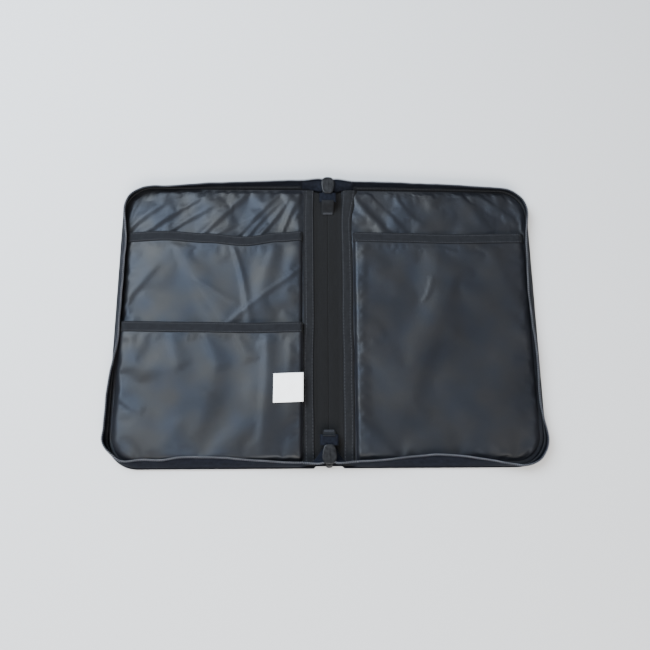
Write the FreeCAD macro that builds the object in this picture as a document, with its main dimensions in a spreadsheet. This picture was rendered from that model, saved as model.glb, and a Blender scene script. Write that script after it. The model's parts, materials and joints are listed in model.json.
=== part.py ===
import FreeCAD, Part

import math
import os

import Sketcher
from FreeCAD import Placement, Rotation, Vector

# Zip-round portfolio case, lying open and flat.
#
# Two stiffened covers are hinged to a narrow spine along its two long creases. A band of zip tape stands
# round three sides of each cover and carries half of a coil zip. The left cover has two pockets, one over
# the other, and the right cover has one. At each end of the spine the zip's tail is joined for a short way,
# with a slider on it.
#
# Millimetres, +Z up. The origin is the middle of the spine's underside, X runs across the spine to the right
# cover and Y runs along the spine to the top edge. Everything on a cover is drawn for the right cover, and
# the left cover's pieces are mirror images.

doc = FreeCAD.newDocument("portfolio_case")
sizes = doc.addObject("Spreadsheet::Sheet", "sizes")
exported = []

DRIVING_DIMENSIONS = (
    # the folded case
    ("hinge_x", 17.0),  # each crease from the spine's middle
    ("cover_width", 240.0),  # crease to outer edge
    ("cover_height", 349.0),  # top edge to bottom edge
    ("corner_radius", 38.0),
    ("spine_height", 344.0),
    ("cover_fold_gap", 0.8),  # crease to the cover's own layers
    ("spine_fold_gap", 1.8),  # crease to the spine's own cloth
    ("spine_core_half", 12.2),
    # layers, from the outside in
    ("shell_thick", 0.8),
    ("board_thick", 1.4),
    ("foam_thick", 1.0),
    ("lining_thick", 0.4),
    ("edge_inset", 3.2),  # the layers inside stop short of the outline
    ("board_fold_gap", 2.4),
    # edge trim
    ("piping_radius", 1.4),
    ("piping_inset", 1.5),
    ("piping_rise", 0.05),
    ("piping_start", 0.5),  # from the cover's own edge at the spine
    ("spine_tape_width", 12.4),
    ("spine_tape_thick", 0.7),
    # zip band
    ("zip_start_x", 33.0),  # where the standing band begins, from the spine's middle
    ("band_inset", 2.0),
    ("band_foot", 3.8),
    ("band_top", 13.4),
    ("band_thick", 0.7),
    ("coil_width", 2.6),
    ("coil_height", 3.0),
    ("seam_tape_top", 9.0),
    ("seam_tape_thick", 1.2),
    ("seam_tape_gap", 0.15),
    ("lean_top_end", 6.0),
    ("lean_top", 3.0),
    ("lean_top_corner", 0.0),
    ("lean_side", -6.5),
    ("lean_low_side", -2.5),
    ("lean_bottom_corner", 1.0),
    ("lean_bottom", -11.0),
    ("lean_bottom_end", -5.0),
    # pockets
    ("cloth_thick", 0.4),
    ("pocket_gap", 4.3),
    ("pocket_skirt", 0.7),  # cloth measured level, on the sloping sides
    ("pocket_slope_spine", 4.0),
    ("pocket_overcut", 1.0),  # the hollow runs this far past the mouth
    ("back_foot_inset", 7.4),
    ("back_top_inset", 17.5),
    ("front_foot_inset", 6.0),
    ("front_top_inset", 15.5),
    ("back_spine_x", 31.6),
    ("front_spine_x", 30.4),
    ("back_mouth_y", 110.5),
    ("front_mouth_y", -4.2),
    ("right_mouth_y", 112.5),
    ("mouth_tape_width", 12.0),
    ("mouth_tape_thick", 0.6),
    ("mouth_tape_gap", 0.05),
    ("mouth_tape_share", 0.6),  # how much of the outer slope the tape goes down
    # label
    ("label_width", 35.0),
    ("label_height", 34.0),
    ("label_thick", 0.3),
    ("label_x", 34.6),
    ("label_top_y", -65.0),
    # zip tail, the same at both ends of the spine, from the slider's tail mouth inwards
    ("top_slider_y", 162.5),
    ("bottom_slider_y", -147.0),
    ("slider_z", 8.6),
    ("tail_gap", 0.3),
    ("tail_chain_length", 8.4),
    ("tail_length", 9.8),
    ("tail_chain_width", 6.4),
    ("tail_chain_lift", 0.4),  # above the slider's lower plate
    ("tail_tape_width", 24.0),
    ("tail_tape_thick", 0.55),
    ("tail_tape_gap", 0.05),
    ("tail_tape_lift", 0.35),  # above the slider's flanges
    ("stop_width", 7.6),
    ("stop_length", 1.2),
    ("stop_drop", 0.3),
    ("end_tab_width", 15.0),
    ("top_end_tab_length", 14.0),
    ("bottom_end_tab_length", 6.5),
    ("end_tab_rise", 0.9),
    ("end_tab_shelf", 2.0),
    ("end_tab_tip", 0.8),
    # slider
    ("slider_length", 22.0),
    ("slider_half", 8.2),
    ("slider_tail_half", 5.8),
    ("slider_nose_half", 4.6),
    ("slider_shoulder_y", 11.0),
    ("slider_shoulder_length", 5.0),
    ("slider_plate", 1.6),
    ("flange_height", 2.7),
    ("channel_height", 3.9),
    ("channel_tail_half", 4.2),
    ("channel_mouth_half", 6.4),
    ("channel_split_lead", 2.0),  # the channel widens from this far before the shoulder
    ("channel_overcut", 1.0),
    ("post_y", 12.0),
    ("post_length", 7.0),
    ("post_half", 1.7),
    ("bridge_half", 1.2),
    ("bridge_y", 5.0),
    ("bridge_length", 14.0),
    ("bridge_drop", 3.4),
    ("bridge_bar", 1.2),
    ("bridge_window_y", 9.0),
    ("bridge_window_length", 8.2),
    # pull tab, drawn from its own hinge, and its turn about the X direction from pointing along +Y
    ("pull_hinge_y", 15.6),
    ("pull_hinge_drop", 1.1),
    ("pull_half", 4.2),
    ("pull_length", 11.5),
    ("pull_thick", 1.4),
    ("pull_tip_chamfer", 2.0),
    ("pull_window_half", 2.2),
    ("pull_window_end", 7.0),
    ("top_pull_turn", -36.0),
    ("bottom_pull_turn", 198.0),
)

# Heights and edges that several pieces share, as spreadsheet expressions.
BOARD_Z = "sizes.shell_thick"
FOAM_Z = "(sizes.shell_thick + sizes.board_thick)"
LINING_Z = "(sizes.shell_thick + sizes.board_thick + sizes.foam_thick)"
COVER_TOP_Z = "(sizes.shell_thick + sizes.board_thick + sizes.foam_thick + sizes.lining_thick)"
SPINE_TOP_Z = "(sizes.shell_thick + sizes.board_thick + sizes.lining_thick)"
OUTER_X = "(sizes.hinge_x + sizes.cover_width)"
HALF_Y = "(sizes.cover_height / 2)"
BACK_TOP_Z = f"({COVER_TOP_Z} + sizes.pocket_gap + sizes.cloth_thick)"
FRONT_TOP_Z = f"({BACK_TOP_Z} + sizes.pocket_gap + sizes.cloth_thick)"
TAIL_TAPE_Z = "(sizes.slider_z + sizes.slider_plate + sizes.flange_height + sizes.tail_tape_lift)"
CHAIN_Z = "(sizes.slider_z + sizes.slider_plate + sizes.tail_chain_lift)"

# Sections of the zip band's loft, along each edge, corner and side.
EDGE_STEPS = 10
CORNER_STEPS = 7
SIDE_STEPS = 14


def fill_sheet():
    """Writes the driving dimensions, one row each, as plain numbers with aliases."""
    for row, (alias, value) in enumerate(DRIVING_DIMENSIONS, start=1):
        sizes.set(f"A{row}", alias)
        sizes.set(f"B{row}", str(value))
        sizes.setAlias(f"B{row}", alias)
    doc.recompute()


def size(alias):
    """One driving dimension, in millimetres."""
    return float(sizes.get(alias))


def new_body(label, keep=True):
    """A PartDesign body with its label, on the list to export unless it is only a mirror's source."""
    body = doc.addObject("PartDesign::Body", label)
    body.Label = label
    if keep:
        exported.append(body)
    return body


def origin_plane(body, role):
    """One of the body's own three planes."""
    return next(f for f in body.Origin.OriginFeatures if f.Role == role)


def sketch_on(body, name, role="XY_Plane", offset="0"):
    """A sketch on one of the body's planes, moved along that plane's normal by an expression."""
    sketch = body.newObject("Sketcher::SketchObject", name)
    sketch.AttachmentSupport = (origin_plane(body, role), [""])
    sketch.MapMode = "FlatFace"
    sketch.setExpression("AttachmentOffset.Base.z", offset)
    return sketch


def number(sketch, expression):
    """An expression's value now, used to place geometry before it is constrained."""
    probe = sketch.evalExpression(expression)
    return float(getattr(probe, "Value", probe))


def bind(sketch, kind, expression, *geometry):
    """Adds a driving constraint whose value is an expression. The start value only fixes its sign."""
    value = number(sketch, expression)
    index = sketch.addConstraint(Sketcher.Constraint(kind, *geometry, value))
    sketch.setExpression(f"Constraints[{index}]", expression)


def polygon(sketch, points):
    """A closed polygon whose corners are pairs of expressions."""
    corners = [Vector(number(sketch, a), number(sketch, b), 0) for a, b in points]
    count = len(corners)
    for i, corner in enumerate(corners):
        sketch.addGeometry(Part.LineSegment(corner, corners[(i + 1) % count]), False)
    for i in range(count):
        sketch.addConstraint(Sketcher.Constraint("Coincident", i, 2, (i + 1) % count, 1))
    for i, (a, b) in enumerate(points):
        bind(sketch, "DistanceX", a, -1, 1, i, 1)
        bind(sketch, "DistanceY", b, -1, 1, i, 1)


def rectangle(sketch, low_a, high_a, low_b, high_b):
    """A rectangle between two pairs of expressions."""
    polygon(sketch, ((low_a, low_b), (high_a, low_b), (high_a, high_b), (low_a, high_b)))


def rounded_chain(sketch, corners, radii, closed=True):
    """Lines through the corners, with a tangent arc at each corner whose radius isn't None.

    The outline turns anticlockwise when closed, and each of its lines is level or upright.
    """
    points = [Vector(number(sketch, a), number(sketch, b), 0) for a, b in corners]
    count = len(points)
    cut = []
    for i, point in enumerate(points):
        if radii[i] is None:
            cut.append((point, point))
            continue
        r = number(sketch, radii[i])
        before = (points[i - 1] - point).normalize()
        after = (points[(i + 1) % count] - point).normalize()
        cut.append((point + before * r, point + after * r))
    last = count if closed else count - 1
    lines, arcs = [], {}
    for i in range(last):
        start, end = cut[i][1], cut[(i + 1) % count][0]
        lines.append(sketch.addGeometry(Part.LineSegment(start, end), False))
        level = abs(start.y - end.y) < abs(start.x - end.x)
        sketch.addConstraint(Sketcher.Constraint("Horizontal" if level else "Vertical", lines[-1]))
    for i in range(count):
        if radii[i] is None:
            if closed or 0 < i < count - 1:
                sketch.addConstraint(Sketcher.Constraint("Coincident", lines[i - 1], 2, lines[i], 1))
            continue
        r = number(sketch, radii[i])
        start, end = cut[i]
        centre = start + end - points[i]
        middle = centre + (points[i] - centre).normalize() * r
        arc = sketch.addGeometry(Part.Arc(start, middle, end), False)
        arcs[i] = arc
        left_turn = (points[i] - start).cross(end - points[i]).z > 0
        enter, leave = (1, 2) if left_turn else (2, 1)
        sketch.addConstraint(Sketcher.Constraint("Tangent", lines[i - 1], 2, arc, enter))
        sketch.addConstraint(Sketcher.Constraint("Tangent", arc, leave, lines[i], 1))
        bind(sketch, "Radius", radii[i], arc)
    return lines


def cover_outline(sketch, x_in, inset):
    """The cover's outline, taken in by an inset: square at the spine, rounded at the outer corners."""
    x_out = f"{OUTER_X} - {inset}"
    y = f"{HALF_Y} - {inset}"
    radius = f"sizes.corner_radius - {inset}"
    corners = ((x_in, f"-({y})"), (x_out, f"-({y})"), (x_out, y), (x_in, y))
    bottom, outer, top, inner = rounded_chain(sketch, corners, (None, radius, radius, None))
    bind(sketch, "DistanceX", x_in, -1, 1, inner, 1)
    bind(sketch, "DistanceX", x_out, -1, 1, outer, 1)
    bind(sketch, "DistanceY", f"-({y})", -1, 1, bottom, 1)
    bind(sketch, "DistanceY", y, -1, 1, top, 1)


def pocket_outline(sketch, x_in, inset, mouth_y):
    """A pocket's outline, taken in from the cover's edge: rounded at the bottom outer corner only."""
    x_out = f"{OUTER_X} - ({inset})"
    y_low = f"-({HALF_Y} - ({inset}))"
    radius = f"sizes.corner_radius - ({inset})"
    corners = ((x_in, y_low), (x_out, y_low), (x_out, mouth_y), (x_in, mouth_y))
    bottom, outer, top, inner = rounded_chain(sketch, corners, (None, radius, None, None))
    bind(sketch, "DistanceX", x_in, -1, 1, inner, 1)
    bind(sketch, "DistanceX", x_out, -1, 1, outer, 1)
    bind(sketch, "DistanceY", y_low, -1, 1, bottom, 1)
    bind(sketch, "DistanceY", mouth_y, -1, 1, top, 1)


def pad(body, sketch, length, both_ways=False):
    """Pads a sketch by an expression, along its plane's normal, or half each way."""
    feature = body.newObject("PartDesign::Pad", sketch.Name + "_pad")
    feature.Profile = sketch
    feature.Midplane = both_ways
    feature.setExpression("Length", length)
    doc.recompute()


def cut(body, sketch, length, both_ways=False):
    """Pockets a sketch by an expression, along its plane's normal, and checks that it took metal away."""
    before = body.Shape.Volume
    feature = body.newObject("PartDesign::Pocket", sketch.Name + "_cut")
    feature.Profile = sketch
    feature.Midplane = both_ways
    feature.Reversed = not both_ways
    feature.setExpression("Length", length)
    doc.recompute()
    if body.Shape.Volume >= before:
        raise RuntimeError(f"{feature.Name} cut nothing")


def mirrored(source, label):
    """The left cover's copy of a piece drawn for the right cover."""
    copy = doc.addObject("Part::Mirroring", label)
    copy.Label = label
    copy.Source = source
    copy.Base = Vector(0, 0, 0)
    copy.Normal = Vector(1, 0, 0)
    exported.append(copy)


def both_sides(name, make):
    """Makes a piece for the right cover and its mirror image for the left."""
    right = make(f"right_{name}")
    mirrored(right, f"left_{name}")


def cover_layer(x_in, inset, z, thick):
    """A maker of flat layers with the cover's outline."""

    def make(label):
        body = new_body(label)
        sketch = sketch_on(body, label + "_outline", offset=z)
        cover_outline(sketch, x_in, inset)
        pad(body, sketch, thick)
        return body

    return make


def make_cover_layers():
    """Outer cloth, board, foam and lining of both covers."""
    shell_x = "sizes.hinge_x + sizes.cover_fold_gap"
    core_x = "sizes.hinge_x + sizes.board_fold_gap"
    both_sides("outer_cover", cover_layer(shell_x, "0", "0", "sizes.shell_thick"))
    both_sides("stiffener_board", cover_layer(core_x, "sizes.edge_inset", BOARD_Z, "sizes.board_thick"))
    both_sides("foam_padding", cover_layer(core_x, "sizes.edge_inset", FOAM_Z, "sizes.foam_thick"))
    both_sides("lining", cover_layer(shell_x, "sizes.edge_inset", LINING_Z, "sizes.lining_thick"))


def make_piping(label):
    """The round bead along the cover's three free edges, swept along its seam."""
    body = new_body(label)
    x_start = "sizes.hinge_x + sizes.cover_fold_gap + sizes.piping_start"
    z = "sizes.shell_thick + sizes.piping_radius + sizes.piping_rise"
    x_out = f"{OUTER_X} - sizes.piping_inset"
    y = f"{HALF_Y} - sizes.piping_inset"
    radius = "sizes.corner_radius - sizes.piping_inset"
    path = sketch_on(body, label + "_path", offset=z)
    corners = ((x_start, f"-({y})"), (x_out, f"-({y})"), (x_out, y), (x_start, y))
    bottom, outer, top = rounded_chain(path, corners, (None, radius, radius, None), closed=False)
    bind(path, "DistanceX", x_start, -1, 1, bottom, 1)
    bind(path, "DistanceX", x_start, -1, 1, top, 2)
    bind(path, "DistanceX", x_out, -1, 1, outer, 1)
    bind(path, "DistanceY", f"-({y})", -1, 1, bottom, 1)
    bind(path, "DistanceY", y, -1, 1, top, 1)
    section = sketch_on(body, label + "_section", "YZ_Plane", x_start)
    centre = Vector(-number(section, y), number(section, z), 0)
    section.addGeometry(Part.Circle(centre, Vector(0, 0, 1), size("piping_radius")), False)
    bind(section, "DistanceX", f"-({y})", -1, 1, 0, 3)
    bind(section, "DistanceY", z, -1, 1, 0, 3)
    bind(section, "Radius", "sizes.piping_radius", 0)
    doc.recompute()
    pipe = body.newObject("PartDesign::AdditivePipe", label + "_sweep")
    pipe.Profile = section
    pipe.Spine = path
    doc.recompute()
    return body


def make_spine_tape(label):
    """The flat tape that binds the cover's seam beside the spine."""
    body = new_body(label)
    sketch = sketch_on(body, label + "_outline", offset=COVER_TOP_Z)
    x_in = "sizes.hinge_x + sizes.cover_fold_gap"
    y = f"({HALF_Y} - sizes.edge_inset)"
    rectangle(sketch, x_in, f"{x_in} + sizes.spine_tape_width", f"-{y}", y)
    pad(body, sketch, "sizes.spine_tape_thick")
    return body


def lean_at(share):
    """How far the zip band's top stands outside its foot, at a share of the way round from the top end.

    The band hangs from the stiff zip, so it leans over the top edge and inwards at the side and bottom.
    """
    keys = (
        (0.00, size("lean_top_end")),
        (0.13, size("lean_top")),
        (0.28, size("lean_top_corner")),
        (0.38, size("lean_side")),
        (0.52, size("lean_side")),
        (0.63, size("lean_low_side")),
        (0.72, size("lean_bottom_corner")),
        (0.87, size("lean_bottom")),
        (1.00, size("lean_bottom_end")),
    )
    for (low, before), (high, after) in zip(keys, keys[1:]):
        if share <= high:
            step = (share - low) / (high - low)
            return before + (after - before) * step * step * (3 - 2 * step)
    return keys[-1][1]


def perimeter_stations():
    """Points, outward directions and shares of the way round the right cover's three zipped edges."""
    x_start, half_y = size("zip_start_x"), size("cover_height") / 2
    x_out, radius = size("hinge_x") + size("cover_width"), size("corner_radius")
    edge, side = x_out - radius - x_start, 2 * (half_y - radius)
    quarter = math.pi * radius / 2
    total = 2 * edge + 2 * quarter + side
    stations = []
    for i in range(EDGE_STEPS):
        x = x_start + edge * i / EDGE_STEPS
        stations.append((x, half_y, math.pi / 2, (x - x_start) / total))
    for i in range(CORNER_STEPS):
        angle = math.pi / 2 * (1 - i / CORNER_STEPS)
        x = x_out - radius + radius * math.cos(angle)
        y = half_y - radius + radius * math.sin(angle)
        stations.append((x, y, angle, (edge + quarter * i / CORNER_STEPS) / total))
    for i in range(SIDE_STEPS):
        y = half_y - radius - side * i / SIDE_STEPS
        stations.append((x_out, y, 0.0, (edge + quarter + side * i / SIDE_STEPS) / total))
    for i in range(CORNER_STEPS):
        angle = -math.pi / 2 * i / CORNER_STEPS
        x = x_out - radius + radius * math.cos(angle)
        y = -half_y + radius + radius * math.sin(angle)
        stations.append((x, y, angle, (edge + quarter + side + quarter * i / CORNER_STEPS) / total))
    for i in range(EDGE_STEPS + 1):
        x = x_out - radius - edge * i / EDGE_STEPS
        stations.append((x, -half_y, -math.pi / 2, (total - edge + edge * i / EDGE_STEPS) / total))
    return stations


def band_loft(outset, low_z, high_z, thick, foot_z, top_z):
    """A strip that follows the zip band's lean between two heights, as one loft round three edges.

    outset is the strip's middle from the band's middle, outwards. foot_z and top_z are the heights over
    which the band leans.
    """
    wires = []
    for x, y, angle, share in perimeter_stations():
        normal = Vector(math.cos(angle), math.sin(angle), 0)
        foot = Vector(x, y, 0) + normal * (outset - size("band_inset"))
        lean = lean_at(share)
        corners = []
        for z, sides in ((low_z, (-1, 1)), (high_z, (1, -1))):
            reach = lean * min(1.0, max(0.0, (z - foot_z) / (top_z - foot_z)))
            for side in sides:
                corners.append(foot + normal * (reach + side * thick / 2) + Vector(0, 0, z))
        wires.append(Part.makePolygon(corners + corners[:1]))
    return Part.makeLoft(wires, True, True)


def plain_feature(label, shape):
    """A piece whose shape is made by Part's own functions from the sheet's values."""
    feature = doc.addObject("Part::Feature", label)
    feature.Label = label
    feature.Shape = shape
    exported.append(feature)
    return feature


def make_zip_band(label):
    """The woven zip tape that stands round the cover."""
    foot, top = size("band_foot"), size("band_top")
    return plain_feature(label, band_loft(0, foot, top, size("band_thick"), foot, top))


def make_zip_coil(label):
    """Half of the zip's coil, along the band's top, as the plain strip that the coil's turns fill."""
    foot, top = size("band_foot"), size("band_top")
    shape = band_loft(0, top, top + size("coil_height"), size("coil_width"), foot, top)
    return plain_feature(label, shape)


def make_seam_tape(label):
    """The tape that binds the seam at the zip band's foot, inside the case."""
    foot, top = size("band_foot"), size("band_top")
    thick = size("seam_tape_thick")
    outset = -(size("band_thick") + thick) / 2 - size("seam_tape_gap")
    return plain_feature(label, band_loft(outset, foot, size("seam_tape_top"), thick, foot, top))


def make_pocket(label, spine_x, foot_inset, top_inset, top_z, mouth_y, keep=True):
    """A pocket's cloth: it rises from its seam on three sides to a flat top, and is open at its mouth."""
    body = new_body(label, keep)
    skirt, slope = "sizes.pocket_skirt", "sizes.pocket_slope_spine"
    outer_foot = sketch_on(body, label + "_outer_foot", offset=COVER_TOP_Z)
    pocket_outline(outer_foot, spine_x, foot_inset, mouth_y)
    outer_top = sketch_on(body, label + "_outer_top", offset=top_z)
    pocket_outline(outer_top, f"{spine_x} + {slope}", top_inset, mouth_y)
    loft = body.newObject("PartDesign::AdditiveLoft", label + "_outer")
    loft.Profile = outer_foot
    loft.Sections = [outer_top]
    doc.recompute()
    before = body.Shape.Volume
    inner_mouth = f"{mouth_y} + sizes.pocket_overcut"
    inner_foot = sketch_on(body, label + "_inner_foot", offset=COVER_TOP_Z)
    pocket_outline(inner_foot, f"{spine_x} + {skirt}", f"{foot_inset} + {skirt}", inner_mouth)
    inner_top = sketch_on(body, label + "_inner_top", offset=f"{top_z} - sizes.cloth_thick")
    pocket_outline(inner_top, f"{spine_x} + {slope} + {skirt}", f"{top_inset} + {skirt}", inner_mouth)
    hollow = body.newObject("PartDesign::SubtractiveLoft", label + "_hollow")
    hollow.Profile = inner_foot
    hollow.Sections = [inner_top]
    doc.recompute()
    if body.Shape.Volume >= before:
        raise RuntimeError(f"{label} has no hollow")
    return body


def make_mouth_tape(label, spine_x, foot_inset, top_inset, top_z, mouth_y, keep=True):
    """The tape folded over a pocket's mouth: a strip across the flat top and down the outer slope."""
    body = new_body(label, keep)
    gap, thick = "sizes.mouth_tape_gap", "sizes.mouth_tape_thick"
    low, high = f"{top_z} + {gap}", f"{top_z} + {gap} + {thick}"
    start_x = f"{spine_x} + sizes.pocket_slope_spine"
    bend_x = f"{OUTER_X} - ({top_inset})"
    run = f"(({top_inset}) - ({foot_inset})) * sizes.mouth_tape_share"
    fall = f"({top_z} - {COVER_TOP_Z}) * sizes.mouth_tape_share"
    profile = sketch_on(body, label + "_profile", "XZ_Plane", f"-({mouth_y})")
    points = (
        (start_x, low),
        (bend_x, low),
        (f"{bend_x} + {run}", f"{low} - {fall}"),
        (f"{bend_x} + {run} + {thick}", f"{high} - {fall}"),
        (f"{bend_x} + {thick}", high),
        (start_x, high),
    )
    polygon(profile, points)
    pad(body, profile, "sizes.mouth_tape_width")
    return body


def make_pockets():
    """The right cover's pocket, and the left cover's back and front pockets, with their mouth tapes."""
    right = (
        "sizes.back_spine_x",
        "sizes.back_foot_inset",
        "sizes.back_top_inset",
        BACK_TOP_Z,
        "sizes.right_mouth_y",
    )
    back = right[:4] + ("sizes.back_mouth_y",)
    front = (
        "sizes.front_spine_x",
        "sizes.front_foot_inset",
        "sizes.front_top_inset",
        FRONT_TOP_Z,
        "sizes.front_mouth_y",
    )
    make_pocket("right_pocket", *right)
    make_mouth_tape("right_pocket_tape", *right)
    for name, shape in (("back", back), ("front", front)):
        mirrored(make_pocket(f"{name}_pocket_source", *shape, keep=False), f"left_{name}_pocket")
        tape = make_mouth_tape(f"{name}_pocket_tape_source", *shape, keep=False)
        mirrored(tape, f"left_{name}_pocket_tape")


def make_label():
    """The blank woven label on the left cover's front pocket."""
    body = new_body("label_source", keep=False)
    sketch = sketch_on(body, "label_outline", offset=FRONT_TOP_Z)
    top = "sizes.label_top_y"
    x_in = "sizes.label_x"
    rectangle(sketch, x_in, f"{x_in} + sizes.label_width", f"{top} - sizes.label_height", top)
    pad(body, sketch, "sizes.label_thick")
    mirrored(body, "care_label")


def make_spine():
    """The spine's outer cloth, its stiffener and its lining."""
    shell_x = "(sizes.hinge_x - sizes.spine_fold_gap)"
    shell_y = "(sizes.spine_height / 2)"
    core_y = f"({shell_y} - sizes.edge_inset)"
    layers = (
        ("spine_outer_cover", shell_x, shell_y, "0", "sizes.shell_thick"),
        ("spine_stiffener", "sizes.spine_core_half", core_y, BOARD_Z, "sizes.board_thick"),
        ("spine_lining", "sizes.spine_core_half", core_y, FOAM_Z, "sizes.lining_thick"),
    )
    for label, half_x, half_y, z, thick in layers:
        body = new_body(label)
        sketch = sketch_on(body, label + "_outline", offset=z)
        rectangle(sketch, f"-{half_x}", half_x, f"-{half_y}", half_y)
        pad(body, sketch, thick)


def place_at_end(body, end):
    """Moves a piece drawn from the slider's tail mouth, +Y outwards, to the spine's top or bottom end."""
    turn = 0 if end == "top" else 180
    body.Placement = Placement(Vector(0, 0, 0), Rotation(Vector(0, 0, 1), turn))
    body.setExpression("Placement.Base.y", f"sizes.{end}_slider_y")


def end_block(name, end, half_x, y_low, y_high, z, thick):
    """A flat block of the zip's tail, in the tail's own frame."""
    label = f"{end}_{name}"
    body = new_body(label)
    sketch = sketch_on(body, label + "_outline", offset=z)
    rectangle(sketch, f"-({half_x})", half_x, y_low, y_high)
    pad(body, sketch, thick)
    place_at_end(body, end)


def make_tail(end):
    """The joined end of the zip: its chain, its tape and its stop."""
    out, inner = "-sizes.tail_gap", "-sizes.tail_length"
    chain_half, tape_half = "sizes.tail_chain_width / 2", "sizes.tail_tape_width / 2"
    chain_thick = f"{TAIL_TAPE_Z} - sizes.tail_tape_gap - {CHAIN_Z}"
    end_block("tail_chain", end, chain_half, "-sizes.tail_chain_length", out, CHAIN_Z, chain_thick)
    end_block("tail_tape", end, tape_half, inner, out, TAIL_TAPE_Z, "sizes.tail_tape_thick")
    stop_half, stop_y = "sizes.stop_width / 2", f"{inner} + sizes.stop_length"
    stop_z = f"{CHAIN_Z} - sizes.stop_drop"
    end_block("end_stop", end, stop_half, inner, stop_y, stop_z, f"{chain_thick} + sizes.stop_drop")


def make_end_tab(end):
    """The cloth tab that ties the zip's tail down to the spine."""
    label = f"{end}_end_tab"
    body = new_body(label)
    profile = sketch_on(body, label + "_profile", "YZ_Plane")
    inner = "-sizes.tail_length"
    shelf_z = f"{TAIL_TAPE_Z} + sizes.end_tab_rise"
    tip = f"{inner} - sizes.{end}_end_tab_length"
    points = (
        (inner, SPINE_TOP_Z),
        (inner, shelf_z),
        (f"{inner} - sizes.end_tab_shelf", shelf_z),
        (tip, f"{SPINE_TOP_Z} + sizes.end_tab_tip"),
        (tip, SPINE_TOP_Z),
    )
    polygon(profile, points)
    pad(body, profile, "sizes.end_tab_width", both_ways=True)
    place_at_end(body, end)


def slider_outline(sketch):
    """The slider's plate: narrow tail, wide shoulders and a blunt nose."""
    half, tail, nose = "sizes.slider_half", "sizes.slider_tail_half", "sizes.slider_nose_half"
    length, shoulder = "sizes.slider_length", "sizes.slider_shoulder_y"
    shoulder_end = f"{shoulder} + sizes.slider_shoulder_length"
    points = (
        (f"-{tail}", "0"),
        (tail, "0"),
        (half, shoulder),
        (half, shoulder_end),
        (nose, length),
        (f"-{nose}", length),
        (f"-{half}", shoulder_end),
        (f"-{half}", shoulder),
    )
    polygon(sketch, points)


def channel_outline(sketch):
    """The coil's way through the slider: single at the tail, opening into two mouths at the nose."""
    tail, mouth = "sizes.channel_tail_half", "sizes.channel_mouth_half"
    start, end = "-sizes.channel_overcut", "sizes.slider_length + sizes.channel_overcut"
    split = "sizes.slider_shoulder_y - sizes.channel_split_lead"
    open_y = "sizes.slider_shoulder_y + sizes.slider_shoulder_length"
    points = (
        (f"-{tail}", start),
        (tail, start),
        (tail, split),
        (mouth, open_y),
        (mouth, end),
        (f"-{mouth}", end),
        (f"-{mouth}", open_y),
        (f"-{tail}", split),
    )
    polygon(sketch, points)


def make_slider(end):
    """The die-cast slider: two plates on a wedge post, side flanges, and the bridge for its pull tab."""
    label = f"{end}_slider_body"
    body = new_body(label)
    add_slider_plates(body, label)
    add_slider_bridge(body, label)
    place_at_end(body, end)


def add_slider_plates(body, label):
    """The slider's lower plate with its flanges, the wedge post, and the upper plate."""
    base, plate = "sizes.slider_z", "sizes.slider_plate"
    lower = sketch_on(body, label + "_lower", offset=base)
    slider_outline(lower)
    pad(body, lower, f"{plate} + sizes.flange_height")
    channel = sketch_on(body, label + "_channel", offset=f"{base} + {plate}")
    channel_outline(channel)
    cut(body, channel, "sizes.flange_height")
    post = sketch_on(body, label + "_post", offset=f"{base} + {plate} / 2")
    middle = "sizes.post_y + sizes.post_length / 3"
    post_end = "sizes.post_y + sizes.post_length"
    half = "sizes.post_half"
    polygon(post, (("0", "sizes.post_y"), (half, middle), ("0", post_end), (f"-{half}", middle)))
    pad(body, post, f"{plate} / 2 + sizes.channel_height")
    upper = sketch_on(body, label + "_upper", offset=f"{base} + {plate} + sizes.channel_height")
    slider_outline(upper)
    pad(body, upper, plate)


def add_slider_bridge(body, label):
    """The bridge under the lower plate, with the window that the pull tab's crossbar passes through."""
    base, plate = "sizes.slider_z", "sizes.slider_plate"
    bridge = sketch_on(body, label + "_bridge", "YZ_Plane")
    far = "sizes.bridge_y + sizes.bridge_length"
    rectangle(bridge, "sizes.bridge_y", far, f"{base} - sizes.bridge_drop", f"{base} + {plate} / 2")
    pad(body, bridge, "2 * sizes.bridge_half", both_ways=True)
    window = sketch_on(body, label + "_window", "YZ_Plane")
    window_end = "sizes.bridge_window_y + sizes.bridge_window_length"
    floor = f"{base} - sizes.bridge_drop + sizes.bridge_bar"
    rectangle(window, "sizes.bridge_window_y", window_end, floor, base)
    cut(body, window, "4 * sizes.bridge_half", both_ways=True)


def make_pull(end):
    """The pull tab: a flat frame whose crossbar passes through the slider's bridge, drooping outwards."""
    label = f"{end}_pull_tab"
    body = new_body(label)
    thick = "sizes.pull_thick"
    half, tip, chamfer = "sizes.pull_half", "sizes.pull_length", "sizes.pull_tip_chamfer"
    plate = sketch_on(body, label + "_plate", offset=f"-{thick} / 2")
    points = (
        (f"-{half}", f"-{thick} / 2"),
        (half, f"-{thick} / 2"),
        (half, f"{tip} - {chamfer}"),
        (f"{half} - {chamfer}", tip),
        (f"-({half} - {chamfer})", tip),
        (f"-{half}", f"{tip} - {chamfer}"),
    )
    polygon(plate, points)
    pad(body, plate, thick)
    window = sketch_on(body, label + "_window", offset=f"-{thick} / 2")
    inside = "sizes.pull_window_half"
    rectangle(window, f"-{inside}", inside, f"{thick} / 2", "sizes.pull_window_end")
    cut(body, window, thick)
    outwards = 1 if end == "top" else -1
    body.Placement = Placement(Vector(0, 0, 0), Rotation(Vector(1, 0, 0), size(f"{end}_pull_turn")))
    body.setExpression("Placement.Base.y", f"sizes.{end}_slider_y + {outwards} * sizes.pull_hinge_y")
    body.setExpression("Placement.Base.z", "sizes.slider_z - sizes.pull_hinge_drop")


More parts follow.
